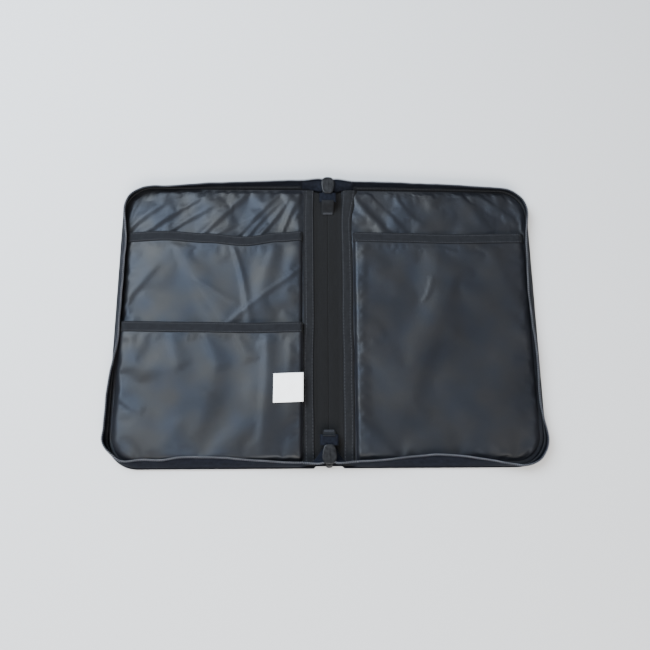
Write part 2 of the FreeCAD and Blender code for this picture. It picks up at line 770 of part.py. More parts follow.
def check_and_write():
    """Stops on any failed object or bad shape, then writes one STEP file for each piece."""
    doc.recompute()
    for item in doc.Objects:
        if any(word in item.State for word in ("Invalid", "Error")):
            raise RuntimeError(f"{item.Label} failed: {item.State}")
    os.makedirs("parts", exist_ok=True)
    for piece in exported:
        shape = piece.Shape
        if shape.isNull() or not shape.isValid() or shape.Volume <= 0:
            raise RuntimeError(f"{piece.Label} has no valid solid")
        shape.exportStep(f"parts/{piece.Label}.step")
        print(f"{piece.Label:28s} {len(shape.Solids)} {shape.Volume:10.1f} mm3")


fill_sheet()
make_cover_layers()
both_sides("piping", make_piping)
both_sides("spine_tape", make_spine_tape)
both_sides("zip_band", make_zip_band)
both_sides("zip_coil", make_zip_coil)
both_sides("seam_tape", make_seam_tape)
make_pockets()
make_label()
make_spine()
for spine_end in ("top", "bottom"):
    make_tail(spine_end)
    make_end_tab(spine_end)
    make_slider(spine_end)
    make_pull(spine_end)
check_and_write()
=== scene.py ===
import json
import math

import bpy
import numpy as np
from mathutils import Matrix, Vector


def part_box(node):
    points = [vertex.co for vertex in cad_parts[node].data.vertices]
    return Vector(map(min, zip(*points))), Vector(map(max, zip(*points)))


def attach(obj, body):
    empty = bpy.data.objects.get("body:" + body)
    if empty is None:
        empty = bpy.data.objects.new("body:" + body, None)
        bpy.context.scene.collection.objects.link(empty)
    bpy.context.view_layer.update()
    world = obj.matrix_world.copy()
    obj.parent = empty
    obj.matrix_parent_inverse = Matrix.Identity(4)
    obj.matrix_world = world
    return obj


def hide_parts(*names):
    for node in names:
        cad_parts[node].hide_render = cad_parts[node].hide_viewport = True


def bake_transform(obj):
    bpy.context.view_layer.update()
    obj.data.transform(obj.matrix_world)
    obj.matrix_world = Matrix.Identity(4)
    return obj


# The looks of a zip-round portfolio case that lies open. Lengths are in millimetres until a mesh is made,
# when they become metres. Pieces of a cover are worked out for the right cover, with X positive, and the
# left cover's are turned over by their side, -1.

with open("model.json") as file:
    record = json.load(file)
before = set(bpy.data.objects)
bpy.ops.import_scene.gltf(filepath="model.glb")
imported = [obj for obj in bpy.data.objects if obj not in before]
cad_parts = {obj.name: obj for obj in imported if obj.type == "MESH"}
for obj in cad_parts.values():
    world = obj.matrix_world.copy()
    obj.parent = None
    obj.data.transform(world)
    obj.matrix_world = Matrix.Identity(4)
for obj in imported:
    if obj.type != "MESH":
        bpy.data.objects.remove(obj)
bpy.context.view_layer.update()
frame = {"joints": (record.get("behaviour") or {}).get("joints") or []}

MM = 0.001
SIDES = {"left": -1, "right": 1}


def box_mm(node):
    """A CAD node's lowest and highest corners, in millimetres."""
    low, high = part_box(node)
    return np.array(low) / MM, np.array(high) / MM


# ---------------------------------------------------------------- sizes, from the frame
COVER_LOW, COVER_HIGH = box_mm("right_outer_cover")
SPINE_HIGH = box_mm("spine_outer_cover")[1]
LINING_LOW, LINING_HIGH = box_mm("right_lining")
PIPING_LOW, PIPING_HIGH = box_mm("right_piping")
SPINE_TAPE_LOW, SPINE_TAPE_HIGH = box_mm("right_spine_tape")
BAND_LOW, BAND_HIGH = box_mm("right_zip_band")
COIL_LOW, COIL_HIGH = box_mm("right_zip_coil")
SEAM_LOW, SEAM_HIGH = box_mm("right_seam_tape")

OUTER_X, HALF_Y = COVER_HIGH[0], COVER_HIGH[1]
CORNER = 38.0  # radius of the covers' outer corners
LAYER_INSET = OUTER_X - LINING_HIGH[0]
COVER_TOP = LINING_HIGH[2]
CLOTH = 0.4  # thickness of the lining and of the pockets
TAPE = 0.6  # thickness of a binding tape
CLOTH_STEP = 3.2  # spacing of a cloth's points before it is made finer
SETTLE_FRAMES = 20

BAND_INSET = 2.0  # how far in the zip band's foot is
BAND_START = 33.0  # where the zip band leaves the cover's edge, from the spine's middle
FREE_LENGTH = 36.0  # length of the free zip between the cover's edge and the slider
ZIP_STEP = 2.0
ZIP_RUN = 900.0  # about the zip's whole length, which its random waves run along
COIL_PITCH = 2.6
COIL_STEPS = 9  # points in one turn of the coil
BRIDGE_DROP = 3.4  # how far the slider's bridge reaches below its plates
TAPE_LEVEL = 3.55  # height of the tape inside the slider, above the underside of its plates


# ---------------------------------------------------------------- curves and random waves
def ease(t):
    """0 below 0, 1 above 1, and smooth between."""
    t = np.clip(t, 0.0, 1.0)
    return t * t * (3 - 2 * t)


def keyed(share, keys):
    """A value that eases from key to key, each key being a share and its value."""
    places = np.array([k[0] for k in keys])
    values = np.array([k[1] for k in keys])
    share = np.clip(share, places[0], places[-1])
    i = np.clip(np.searchsorted(places, share) - 1, 0, len(places) - 2)
    return values[i] + (values[i + 1] - values[i]) * ease((share - places[i]) / (places[i + 1] - places[i]))


def noise(x, y, cell, seed):
    """Smooth random values from -1 to 1 that change over about one cell."""
    table = np.random.default_rng(seed).uniform(-1, 1, (64, 64))
    gx, gy = np.asarray(x, float) / cell, np.asarray(y, float) / cell
    ix, iy = np.floor(gx).astype(int), np.floor(gy).astype(int)
    fx, fy = gx - ix, gy - iy
    fx = fx ** 3 * (fx * (6 * fx - 15) + 10)
    fy = fy ** 3 * (fy * (6 * fy - 15) + 10)
    low = table[ix % 64, iy % 64] * (1 - fx) + table[(ix + 1) % 64, iy % 64] * fx
    high = table[ix % 64, (iy + 1) % 64] * (1 - fx) + table[(ix + 1) % 64, (iy + 1) % 64] * fx
    return low * (1 - fy) + high * fy


def wander(run, cell, seed, row=0):
    """Smooth random values along a line. Another row gives other values."""
    return noise(run, 0 * run + row, cell, seed)


def fold(x, y, start, end, width, height, sharp):
    """A soft ridge from start to end. sharp from 0 to 1 makes one flank steep."""
    (ax, ay), (bx, by) = start, end
    length = math.hypot(bx - ax, by - ay)
    ux, uy = (bx - ax) / length, (by - ay) / length
    along = ((x - ax) * ux + (y - ay) * uy) / length
    across = (x - ax) * -uy + (y - ay) * ux + 3 * np.sin(along * 3.1 + ax)
    width = width * (0.7 + 0.5 * along)
    across = across / width
    across = np.where(across > 0, across * (1 + 1.6 * sharp), across)
    return height * np.exp(-(across ** 2)) * ease(along * 4 + 0.6) * ease((1 - along) * 4 + 0.6)


def rounded(points, times=3):
    """A closed outline with its corners cut again and again, so that it becomes a smooth curve."""
    points = np.array(points, float)
    for _ in range(times):
        after = np.roll(points, -1, axis=0)
        points = np.stack((0.8 * points + 0.2 * after, 0.2 * points + 0.8 * after), 1).reshape(-1, 2)
    return points


def unit(v):
    """Vectors made one long."""
    return v / np.maximum(np.linalg.norm(v, axis=-1, keepdims=True), 1e-9)


def sampled(places, known, rows):
    """Rows of values known at some places, read off at others."""
    return np.stack([np.interp(places, known, column) for column in rows.T], 1)


def joint_place(name):
    """Where a joint is, in metres."""
    return next(joint for joint in frame["joints"] if joint["name"] == name)["pos_m"]


# ---------------------------------------------------------------- meshes
class Shape:
    """Points, faces, flat coordinates and finishes gathered for one piece."""

    def __init__(self):
        self.points, self.flat, self.faces, self.finish, self.plain = [], [], [], [], []
        self.count = 0

    def add(self, points, faces, flat=None, finish=0, plain=()):
        """Adds points and faces. plain holds the numbers of faces that aren't shaded smooth."""
        points = np.asarray(points, float).reshape(-1, 3)
        flat = points[:, :2] if flat is None else np.asarray(flat, float).reshape(-1, 2)
        plain = set(plain)
        self.points.append(points)
        self.flat.append(flat)
        for i, face in enumerate(faces):
            self.faces.append(tuple(int(v) + self.count for v in face))
            self.finish.append(finish)
            self.plain.append(i in plain)
        self.count += len(points)
        return self

    def make(self, name, *materials, side=1):
        """The Blender object, in metres. A side of -1 makes the left cover's mirror image."""
        points = np.concatenate(self.points) * MM
        faces = self.faces
        if side < 0:
            points[:, 0] *= -1
            faces = [f[::-1] for f in faces]
        mesh = bpy.data.meshes.new(name)
        mesh.from_pydata(points.tolist(), [], faces)
        mesh.polygons.foreach_set("use_smooth", [not p for p in self.plain])
        mesh.polygons.foreach_set("material_index", self.finish)
        corners = np.zeros(len(mesh.loops), int)
        mesh.loops.foreach_get("vertex_index", corners)
        layer = mesh.uv_layers.new(name="flat")
        layer.data.foreach_set("uv", (np.concatenate(self.flat)[corners] * MM).astype(np.float32).ravel())
        for material in materials:
            mesh.materials.append(material)
        mesh.update()
        made = bpy.data.objects.new(name, mesh)
        bpy.context.scene.collection.objects.link(made)
        return made


def quads(rows, columns, wrap_rows=False, wrap_columns=False):
    """Faces of a grid of points, row by row, facing up when columns run along X and rows along Y."""
    r = np.arange(rows if wrap_rows else rows - 1)[:, None]
    c = np.arange(columns if wrap_columns else columns - 1)[None, :]
    r2, c2 = (r + 1) % rows, (c + 1) % columns
    corners = (r * columns + c, r * columns + c2, r2 * columns + c2, r2 * columns + c)
    return np.stack(np.broadcast_arrays(*corners), -1).reshape(-1, 4)


def grid_normals(grid):
    """Upward directions at each point of a grid of points."""
    along_rows = np.gradient(grid, axis=0)
    along_columns = np.gradient(grid, axis=1)
    return unit(np.cross(along_columns, along_rows))


def add_sheet(shape, top, bottom, flat=None, finish=0):
    """Adds a closed sheet between two grids of points, with a plain rim round it."""
    rows, columns = top.shape[:2]
    total = rows * columns
    upper = quads(rows, columns)
    number = np.arange(total).reshape(rows, columns)
    rim = np.concatenate((number[0], number[1:, -1], number[-1, -2::-1], number[-2:0:-1, 0]))
    after = np.roll(rim, -1)
    sides = np.stack((rim, rim + total, after + total, after), 1)
    faces = np.concatenate((upper, upper[:, ::-1] + total, sides))
    plain = range(2 * len(upper), len(faces))
    if flat is None:
        flat = lengths(top)
    flat = flat.reshape(-1, 2)
    points = np.concatenate((top.reshape(-1, 3), bottom.reshape(-1, 3)))
    return shape.add(points, faces, np.concatenate((flat, flat)), finish, plain)


def lengths(grid):
    """Flat coordinates of a strip: how far each point is along its row, and along its column."""
    u = np.zeros(grid.shape[:2])
    v = np.zeros(grid.shape[:2])
    u[:, 1:] = np.cumsum(np.linalg.norm(np.diff(grid, axis=1), axis=-1), axis=1)
    v[1:] = np.cumsum(np.linalg.norm(np.diff(grid, axis=0), axis=-1), axis=0)
    return np.stack((u, v), -1)


def add_cloth(shape, middle, thick, flat=None, finish=0):
    """Adds a sheet of one thickness about its middle surface."""
    lift = grid_normals(middle) * thick / 2
    return add_sheet(shape, middle + lift, middle - lift, flat, finish)


def add_tube(shape, sections, flat=None, finish=0, closed=False):
    """Adds a solid through a row of closed sections, with its ends filled unless the row closes on itself."""
    stations, around = sections.shape[:2]
    faces = [list(f) for f in quads(stations, around, closed, True)]
    plain = []
    if not closed:
        plain = [len(faces), len(faces) + 1]
        faces.append(list(range(around))[::-1])
        faces.append([(stations - 1) * around + i for i in range(around)])
    if flat is None:
        flat = lengths(sections)
    return shape.add(sections, faces, flat, finish, plain)


def ring_sections(path, side, up, half_side, half_up, around, power=1.0):
    """Oval sections along a path. A power below 1 squares the oval off."""
    side, up = np.broadcast_to(side, path.shape), np.broadcast_to(up, path.shape)
    angle = np.linspace(0, 2 * math.pi, around, endpoint=False)
    a = np.sign(np.cos(angle)) * np.abs(np.cos(angle)) ** power
    b = np.sign(np.sin(angle)) * np.abs(np.sin(angle)) ** power
    across = side[:, None, :] * (a[None, :, None] * half_side)
    return path[:, None, :] + across + up[:, None, :] * (b[None, :, None] * half_up)


def add_stitches(shape, centres, along, up, length, radius):
    """Adds a row of short threads, each a spindle that sinks into the cloth at both ends."""
    around = 6
    stations = np.array((-0.5, -0.3, 0.0, 0.3, 0.5))
    fat = np.array((0.35, 0.95, 1.0, 0.95, 0.35))
    drop = np.array((-1.3, -0.15, 0.0, -0.15, -1.3))
    along = np.broadcast_to(unit(np.array(along, float)), centres.shape)
    up = np.broadcast_to(unit(np.array(up, float)), centres.shape)
    side = unit(np.cross(up, along))
    angle = np.linspace(0, 2 * math.pi, around, endpoint=False)
    for centre, a, u, w in zip(centres, along, up, side):
        path = centre + a * (stations[:, None] * length) + u * (drop[:, None] * radius)
        ring = w * np.cos(angle)[:, None] + u * np.sin(angle)[:, None]
        sections = path[:, None, :] + ring[None, :, :] * (fat[:, None, None] * radius)
        add_tube(shape, sections, finish=1)
    return shape


def add_plate(shape, outline, low, high, bevel, dome=0.0):
    """Adds a plate with rounded edges, loop by loop from its underside to its slightly domed top."""
    out = unit(outline - outline.mean(0))
    loops = []
    for inset, z in (
        (3, low), (1, low), (0.3, low + 0.3 * bevel), (0, low + bevel),
        (0, high - bevel), (0.3, high - 0.3 * bevel), (1, high), (3, high + dome),
    ):
        loops.append(np.column_stack((outline - out * (inset * bevel), np.full(len(outline), z))))
    return add_tube(shape, np.array(loops))


# ---------------------------------------------------------------- the cover's edge
def edge_run(inset, start, spacing):
    """Even stations round a cover's three free edges, from the spine's top end to its bottom end.

    Gives points, outward directions and shares of the way round, all for the right cover.
    """
    radius = CORNER - inset
    level = OUTER_X - CORNER - start
    half = HALF_Y - inset
    side = 2 * (HALF_Y - CORNER)
    quarter = math.pi * radius / 2
    total = 2 * level + 2 * quarter + side
    s = np.linspace(0, total, int(round(total / spacing)) + 1)
    first = np.clip((s - level) / quarter, 0, 1) * math.pi / 2
    second = np.clip((s - level - quarter - side) / quarter, 0, 1) * math.pi / 2
    x = start + np.clip(s, 0, level) + radius * (np.sin(first) - 1 + np.cos(second))
    x -= np.clip(s - (total - level), 0, level)
    y = half - radius * (1 - np.cos(first) + np.sin(second)) - np.clip(s - level - quarter, 0, side)
    angle = math.pi / 2 - first - second
    zero = np.zeros_like(s)
    return np.stack((x, y, zero), 1), np.stack((np.cos(angle), np.sin(angle), zero), 1), s / total


def depth_in(x, y):
    """How far a point of the right cover is in from its outline."""
    qx = x - (OUTER_X - CORNER)
    qy = np.abs(y) - (HALF_Y - CORNER)
    return CORNER - np.hypot(np.maximum(qx, 0), np.maximum(qy, 0)) - np.minimum(np.maximum(qx, qy), 0)


def cover_grid(x_in, inset, y_low, y_high, spacing, fixed=()):
    """X and Y of a grid over the right cover, from x_in to the outline taken in by an inset.

    fixed holds columns that stay straight, listed outwards from x_in.
    """
    straight, radius = HALF_Y - CORNER, CORNER - inset
    turn = np.sin(np.linspace(0, math.pi / 2, int(round(radius * math.pi / 2 / spacing)) + 1))[1:]
    low, high = max(y_low, -straight), min(y_high, straight)
    parts = [np.linspace(low, high, int(round((high - low) / spacing)) + 1)]
    if y_low < -straight:
        parts.insert(0, -(straight + radius * turn)[::-1])
    if y_high > straight:
        parts.append(straight + radius * turn)
    y = np.concatenate(parts)
    past = np.clip(np.abs(y) - straight, 0, radius)
    reach = OUTER_X - CORNER + np.sqrt(np.maximum(radius ** 2 - past ** 2, 0))
    columns = [np.full(len(y), c) for c in (x_in, *fixed)]
    last = columns[-1][0]
    for u in np.linspace(0, 1, int(round((OUTER_X - last) / spacing)) + 1)[1:]:
        columns.append(last + (reach - last) * u)
    x = np.stack(columns, 1)
    return x, np.repeat(y[:, None], x.shape[1], 1)


LEAN = (  # how far the zip stands outside the band's foot, by the share of the way round
    (0.00, 6.0), (0.13, 3.0), (0.28, 0.0), (0.38, -6.5), (0.52, -6.5),
    (0.63, -2.5), (0.72, 1.0), (0.87, -11.0), (1.00, -5.0),
)
DRIFT = {  # what each cover's zip adds to that
    "left": ((0.00, 0.4), (0.10, 0.2), (0.23, -3.0), (0.34, -0.3), (0.52, 0.4), (0.62, 4.2), (0.68, 3.2),
             (0.72, -3.6), (0.755, -7.4), (0.80, -3.0), (0.88, 0.9), (1.00, 0.4)),
    "right": ((0.00, -0.4), (0.12, 0.6), (0.25, -0.6), (0.36, 0.4), (0.46, -1.2), (0.55, 1.0), (0.63, -3.4),
              (0.69, 0.6), (0.80, -0.4), (0.88, -0.8), (1.00, -0.6)),
}


def zip_lean(side_name, share):
    """How far a cover's zip stands outside the band's foot."""
    return keyed(share, LEAN) + keyed(share, DRIFT[side_name])


def zip_lines(side_name):
    """The zip band's foot line and top line round a cover, with the outward directions, at even stations.

    Past the cover the band goes on, free, into the slider at each end of the spine.
    """
    foot, out, share = edge_run(BAND_INSET, BAND_START, ZIP_STEP)
    run = share * ZIP_RUN
    seed = 11 + (side_name == "right")
    shake = 0.35 * wander(run, 24, seed) + 0.2 * wander(run, 9, seed + 5)
    lean = zip_lean(side_name, share) + shake * ease(share * 30) * ease((1 - share) * 30)
    top = foot + out * lean[:, None]
    foot[:, 2] = BAND_LOW[2]
    top[:, 2] = BAND_HIGH[2] + 0.35 * wander(run, 40, seed, 3) * ease(share * 20)
    head = free_end("top", foot[0], top[0])
    tail = free_end("bottom", foot[-1], top[-1])
    return [np.concatenate((a[::-1], b, c)) for a, b, c in zip(head, (foot, top, out), tail)]


def bezier(points, count):
    """Points on one cubic curve, without its first."""
    a, b, c, d = (np.array(p, float) for p in points)
    t = np.linspace(0, 1, count + 1)[1:, None]
    return a * (1 - t) ** 3 + 3 * b * t * (1 - t) ** 2 + 3 * c * t * t * (1 - t) + d * t ** 3


def free_end(end, foot, top):
    """The stretch of band between the cover's corner and the slider: it turns flat and into the nose."""
    body_low, body_high = box_mm(f"{end}_slider_body")
    sign = 1 if end == "top" else -1
    nose = body_high[1] if sign > 0 else body_low[1]
    level = body_low[2] + BRIDGE_DROP + TAPE_LEVEL
    count = int(round(FREE_LENGTH / ZIP_STEP))
    inside = (3.7, nose - sign * 9.5, level)
    turn = (4.6, nose + sign * 2.0, level + 0.6)
    lead = (foot[0] - 15, top[1] + sign * 0.8, top[2])
    top_line = bezier((top, lead, turn, inside), count)
    edge_y = nose - sign * 17.5
    edge = (7.6, edge_y, level - 4.2)
    edge_turn = (14.0, (foot[1] + edge_y) / 2, level - 6.8)
    edge_lead = (foot[0] - 12, foot[1] - sign * 0.6, foot[2] + 0.2)
    foot_line = bezier((foot, edge_lead, edge_turn, edge), count)
    way = np.gradient(np.concatenate((top[None], top_line)), axis=0)[1:]
    out = unit(np.cross(unit(foot_line - top_line), way)) * -sign
    return foot_line, top_line, out


# ---------------------------------------------------------------- the lining's and pockets' own surfaces
SPINE_SLOPE = 4.0  # width of a pocket's rise beside the spine
MOUTH_WIDTH = 12.0


class Pocket:
    """A pocket's seams, its mouth's line and its folds, from its CAD node."""

    def __init__(self, node, number, spine_x, foot, top, line, folds):
        high = box_mm(node)[1]
        self.node, self.side_name = node, node.split("_")[0]
        self.mouth, self.height = high[1], high[2]
        self.number = number  # it sets the pocket's own random waves
        self.spine_x = spine_x  # where its seam beside the spine is
        self.foot, self.top = foot, top  # how far in its other seams and its full height are
        self.line = line  # how far its mouth wanders, at some X
        self.folds = folds
        self.settled = None  # its cloth as it came to rest


# Each fold has its start, its end, its width, its height and how sharp it is.
STRIP_FOLDS = {
    "left": (
        ((246, 112), (205, 156), 8, 1.6, 0.5), ((238, 106), (158, 158), 8, 1.5, 0.5),
        ((202, 106), (140, 156), 9, 1.6, 0.4), ((168, 104), (100, 164), 9, 1.9, 0.6),
        ((140, 106), (92, 142), 7, 1.1, 0.3), ((124, 102), (58, 166), 8, 2.0, 0.6),
        ((106, 106), (52, 158), 6, 1.4, 0.5), ((84, 106), (50, 164), 6, 1.8, 0.6),
        ((62, 106), (36, 154), 6, 1.7, 0.6), ((42, 100), (40, 172), 12, 1.8, 0.0),
    ),
    "right": (
        ((33, 168), (70, 108), 6, 1.7, 0.0), ((48, 166), (104, 106), 8, 1.3, 0.5),
        ((88, 160), (120, 122), 8, 1.0, 0.4), ((168, 162), (210, 118), 10, 1.2, 0.5),
        ((196, 168), (238, 128), 8, 1.2, 0.5),
    ),
}
BACK = Pocket(
    "left_back_pocket", 0, 31.6, 7.4, 17.5,
    ((31, 3.0), (60, 1.0), (103, -4.6), (150, -1.0), (202, 2.0), (252, -0.8)),
    (
        ((190, 92), (122, -8), 18, 1.3, 0.7), ((28, 70), (122, -6), 4, 0.7, 0.5),
        ((120, 97), (94, -2), 6, 1.2, 0.6), ((165, 47), (108, 22), 5, 0.4, 0.4),
        ((246, 10), (212, 70), 8, 1.0, 0.4), ((66, 90), (86, 8), 13, 1.1, 0.3),
        ((40, 104), (42, 20), 14, 1.7, 0.1),
    ),
)
FRONT = Pocket(
    "left_front_pocket", 1, 30.4, 6.0, 15.5,
    ((31, 0.6), (90, -0.8), (170, 0.2), (252, 1.0)),
    (
        ((76, -10), (78, -172), 12, 1.3, 0.5), ((150, -12), (132, -60), 10, 0.8, 0.5),
        ((196, -12), (172, -56), 10, 0.8, 0.4), ((112, -12), (98, -50), 8, 0.7, 0.4),
        ((236, -14), (216, -70), 12, 0.9, 0.3), ((240, -52), (130, -88), 26, 0.9, 0.2),
        ((247, -96), (214, -106), 6, 0.6, 0.3), ((42, -30), (46, -160), 9, 0.6, 0.2),
    ),
)
RIGHT = Pocket(
    "right_pocket", 2, 31.6, 7.4, 17.5,
    ((31, 0.5), (90, -0.4), (150, -1.6), (252, 0.2)),
    (
        ((140, 98), (124, 40), 14, 0.6, 0.3), ((160, 70), (58, -170), 30, 1.7, 0.6),
        ((114, 26), (130, 54), 4, 0.6, 0.4), ((44, 100), (40, -165), 9, 1.1, 0.2),
        ((208, 100), (226, 24), 14, 0.8, 0.4), ((232, 30), (216, -150), 30, 0.9, 0.2),
        ((152, 94), (190, 82), 5, 0.5, 0.4),
    ),
)


def strip_relief(x, y, side_name):
    """The folds in the lining above a cover's pockets, where the cloth is sewn in slack."""
    seam = depth_in(x, y) - LAYER_INSET
    seed = 21 + (side_name == "right")
    puckers = noise(x + 0.3 * y, y * 0.15, 6.5, seed) * 1.1 * np.exp(-np.maximum(seam, 0) / 9)
    soft = 0.7 * noise(x + 0.8 * y, y - 0.6 * x, 26, seed + 2) + 0.22 * noise(x, y, 11, seed + 3)
    z = sum(fold(x, y, *one) for one in STRIP_FOLDS[side_name])
    return (z + puckers + soft + 0.6) * ease(seam / 7) * ease((x - 30) / 6)


def pocket_relief(x, y, pocket):
    """The folds and soft waves of a pocket's cloth."""
    seed = 31 + 10 * pocket.number
    waves = 1.0 * noise(x + 0.3 * y, y - 0.3 * x, 80, seed) + 0.22 * noise(x + y, y - x, 46, seed + 1)
    return sum(fold(x, y, *one) for one in pocket.folds) + waves


def pocket_height(x, y, pocket):
    """The height of a pocket's outer face: up from its seams in a round slope, with puckers along them."""
    out = np.clip((depth_in(x, y) - pocket.foot) / (pocket.top - pocket.foot), 0, 1)
    inner = np.clip((x - pocket.spine_x) / SPINE_SLOPE, 0, 1)
    rise = (1 - (1 - out) ** 2.2) * (1 - (1 - inner) ** 2)
    seam = np.minimum(depth_in(x, y) - pocket.foot, (x - pocket.spine_x) * 1.6)
    gather = noise(x, y, 7.5, 61 + 10 * pocket.number) * 0.75 * np.exp(-np.maximum(seam - 3, 0) / 8)
    calm = 1 - 0.75 * ease((y - pocket.mouth + MOUTH_WIDTH + 10) / 12)
    level = COVER_TOP + (pocket.height - COVER_TOP) * rise
    return level + (pocket_relief(x, y, pocket) * calm + gather) * ease(rise * 1.6)


def pocket_points(x, y, pocket):
    """Points on a pocket's outer face, with the mouth's wander let in over the cloth below it."""
    near = ease((y - pocket.mouth + 70) / 58)
    return np.stack((x, y + keyed(x, pocket.line) * near, pocket_height(x, y, pocket)), -1)


def settle(points, sewn, slack, stiff, most):
    """Lets a grid of cloth that is cut a little too large buckle between its sewn points.

    slack is the share it is too large by, and most is about the furthest that a point moves.
    """
    cloth = Shape().add(points, quads(*points.shape[:2])).make("settling")
    group = cloth.vertex_groups.new(name="sewn")
    group.add([int(i) for i in np.flatnonzero(sewn.ravel())], 1.0, "REPLACE")
    modifier = cloth.modifiers.new("cloth", "CLOTH")
    settings = modifier.settings
    settings.vertex_group_mass = "sewn"
    settings.quality = 8
    settings.mass = 0.12
    settings.tension_stiffness = 25
    settings.compression_stiffness = 25
    settings.shear_stiffness = 8
    settings.bending_stiffness = stiff
    settings.air_damping = 2
    settings.shrink_min = -slack
    settings.effector_weights.gravity = 0
    modifier.collision_settings.use_collision = False
    modifier.point_cache.frame_end = SETTLE_FRAMES
    scene = bpy.context.scene
    for step in range(1, SETTLE_FRAMES + 1):
        scene.frame_set(step)
    settled = cloth.evaluated_get(bpy.context.evaluated_depsgraph_get()).data
    found = np.zeros(points.size, np.float32)
    settled.vertices.foreach_get("co", found)
    scene.frame_set(1)
    bpy.data.objects.remove(cloth)
    moved = found.reshape(points.shape) / MM - points
    away = np.linalg.norm(moved, axis=-1, keepdims=True)
    return points + moved * (most * np.tanh(away / most) / np.maximum(away, 1e-9))


def finer(grid):
    """A grid with twice the rows and columns, through the same points, on smooth curves."""
    for axis in (0, 1):
        line = np.moveaxis(grid, axis, 0)
        before = np.concatenate((2 * line[:1] - line[1:2], line[:-1]))[:-1]
        after = np.concatenate((line[2:], 2 * line[-1:] - line[-2:-1]))
        between = (9 * (line[:-1] + line[1:]) - before - after) / 16
        doubled = np.empty((2 * len(line) - 1, *line.shape[1:]))
        doubled[::2], doubled[1::2] = line, between
        grid = np.moveaxis(doubled, 0, axis)
    return grid


# ---------------------------------------------------------------- finishes
def socket_name(word):
    """A shader input's own name, such as Sheen Weight for sheen_weight."""
    return word.replace("_", " ").title().replace("Ior", "IOR")


class Finish:
    """A material being built: one Principled shader and the nodes that drive it."""

    def __init__(self, name, roughness, **values):
        self.material = bpy.data.materials.new(name)
        self.material.use_nodes = True
        self.tree = self.material.node_tree
        self.shader = self.tree.nodes["Principled BSDF"]
        self.shader.inputs["Roughness"].default_value = roughness
        for key, value in values.items():
            self.shader.inputs[socket_name(key)].default_value = value
        self.material.diffuse_color = (0.05, 0.05, 0.06, 1)

    def node(self, kind, **settings):
        """A node with its settings. A setting that names an input sets that input's value."""
        made = self.tree.nodes.new(kind)
        for key, value in settings.items():
            if hasattr(made, key):
                setattr(made, key, value)
            else:
                made.inputs[socket_name(key)].default_value = value
        return made

    def link(self, output, socket):
        """Feeds an input from an output."""
        self.tree.links.new(output, socket)

    def place(self, flat=True):
        """Flat cloth coordinates, or the frame's own coordinates, in metres."""
        if flat:
            return self.node("ShaderNodeUVMap", uv_map="flat").outputs["UV"]
        return self.node("ShaderNodeTexCoord").outputs["Object"]

    def wave(self, place, period, direction):
        """Even stripes with a period in millimetres."""
        scale = math.pi / 10 / (period * MM)
        stripes = self.node("ShaderNodeTexWave", bands_direction=direction, scale=scale)
        self.link(place, stripes.inputs["Vector"])
        return stripes.outputs["Fac"]

    def cloud(self, place, cell, detail=3.0):
        """Soft random shades with a cell in millimetres."""
        made = self.node("ShaderNodeTexNoise", detail=detail, scale=1 / (cell * MM))
        self.link(place, made.inputs["Vector"])
        return made.outputs["Fac"]

    def math(self, operation, a, b):
        """One sum of two outputs or numbers."""
        made = self.node("ShaderNodeMath", operation=operation)
        for socket, value in zip(made.inputs, (a, b)):
            if isinstance(value, (int, float)):
                socket.default_value = value
            else:
                self.link(value, socket)
        return made.outputs[0]

    def mix(self, a, a_part, b, b_part):
        """Two outputs, each by its part, added up."""
        return self.math("ADD", self.math("MULTIPLY", a, a_part), self.math("MULTIPLY", b, b_part))

    def ramp(self, factor, first, last, margin, socket):
        """Runs an input from a first to a last colour by a factor, level within the margins at both ends."""
        made = self.node("ShaderNodeValToRGB")
        for stop, place, colour in zip(made.color_ramp.elements, (margin, 1 - margin), (first, last)):
            stop.position = place
            stop.color = (*colour, 1)
        self.link(factor, made.inputs["Fac"])
        self.link(made.outputs["Color"], self.shader.inputs[socket])

    def shades(self, factor, dark, light):
        """The base colour, from dark to light by a factor."""
        self.ramp(factor, dark, light, 0.25, "Base Color")

    def relief(self, height, depth, strength):
        """Fine relief, with its depth in millimetres."""
        bump = self.node("ShaderNodeBump", strength=strength, distance=depth * MM)
        self.link(height, bump.inputs["Height"])
        self.link(bump.outputs["Normal"], self.shader.inputs["Normal"])

    def rough(self, factor, low, high):
        """Roughness that runs from low to high with a factor."""
        spread = self.node("ShaderNodeMapRange", to_min=low, to_max=high)
        self.link(factor, spread.inputs["Value"])
        self.link(spread.outputs["Result"], self.shader.inputs["Roughness"])


def plain_weave(finish, place, period):
    """Over and under threads, as one height."""
    warp = finish.wave(place, period, "X")
    weft = finish.wave(place, period, "Y")
    return finish.math("MULTIPLY", warp, weft)


def outer_nylon():
    """Dark navy canvas weave with slubs."""
    f = Finish("outer_nylon", 0.62, specular_ior_level=0.07, sheen_weight=0.015, sheen_roughness=0.5)
    place = f.place()
    weave = plain_weave(f, place, 0.75)
    slubs = f.cloud(place, 2.2)
    f.shades(f.math("MULTIPLY", weave, slubs), (0.002, 0.0026, 0.0045), (0.0075, 0.009, 0.014))
    f.relief(f.math("ADD", weave, f.math("MULTIPLY", slubs, 0.4)), 0.22, 0.8)
    f.rough(f.cloud(place, 30), 0.55, 0.72)
    return f.material


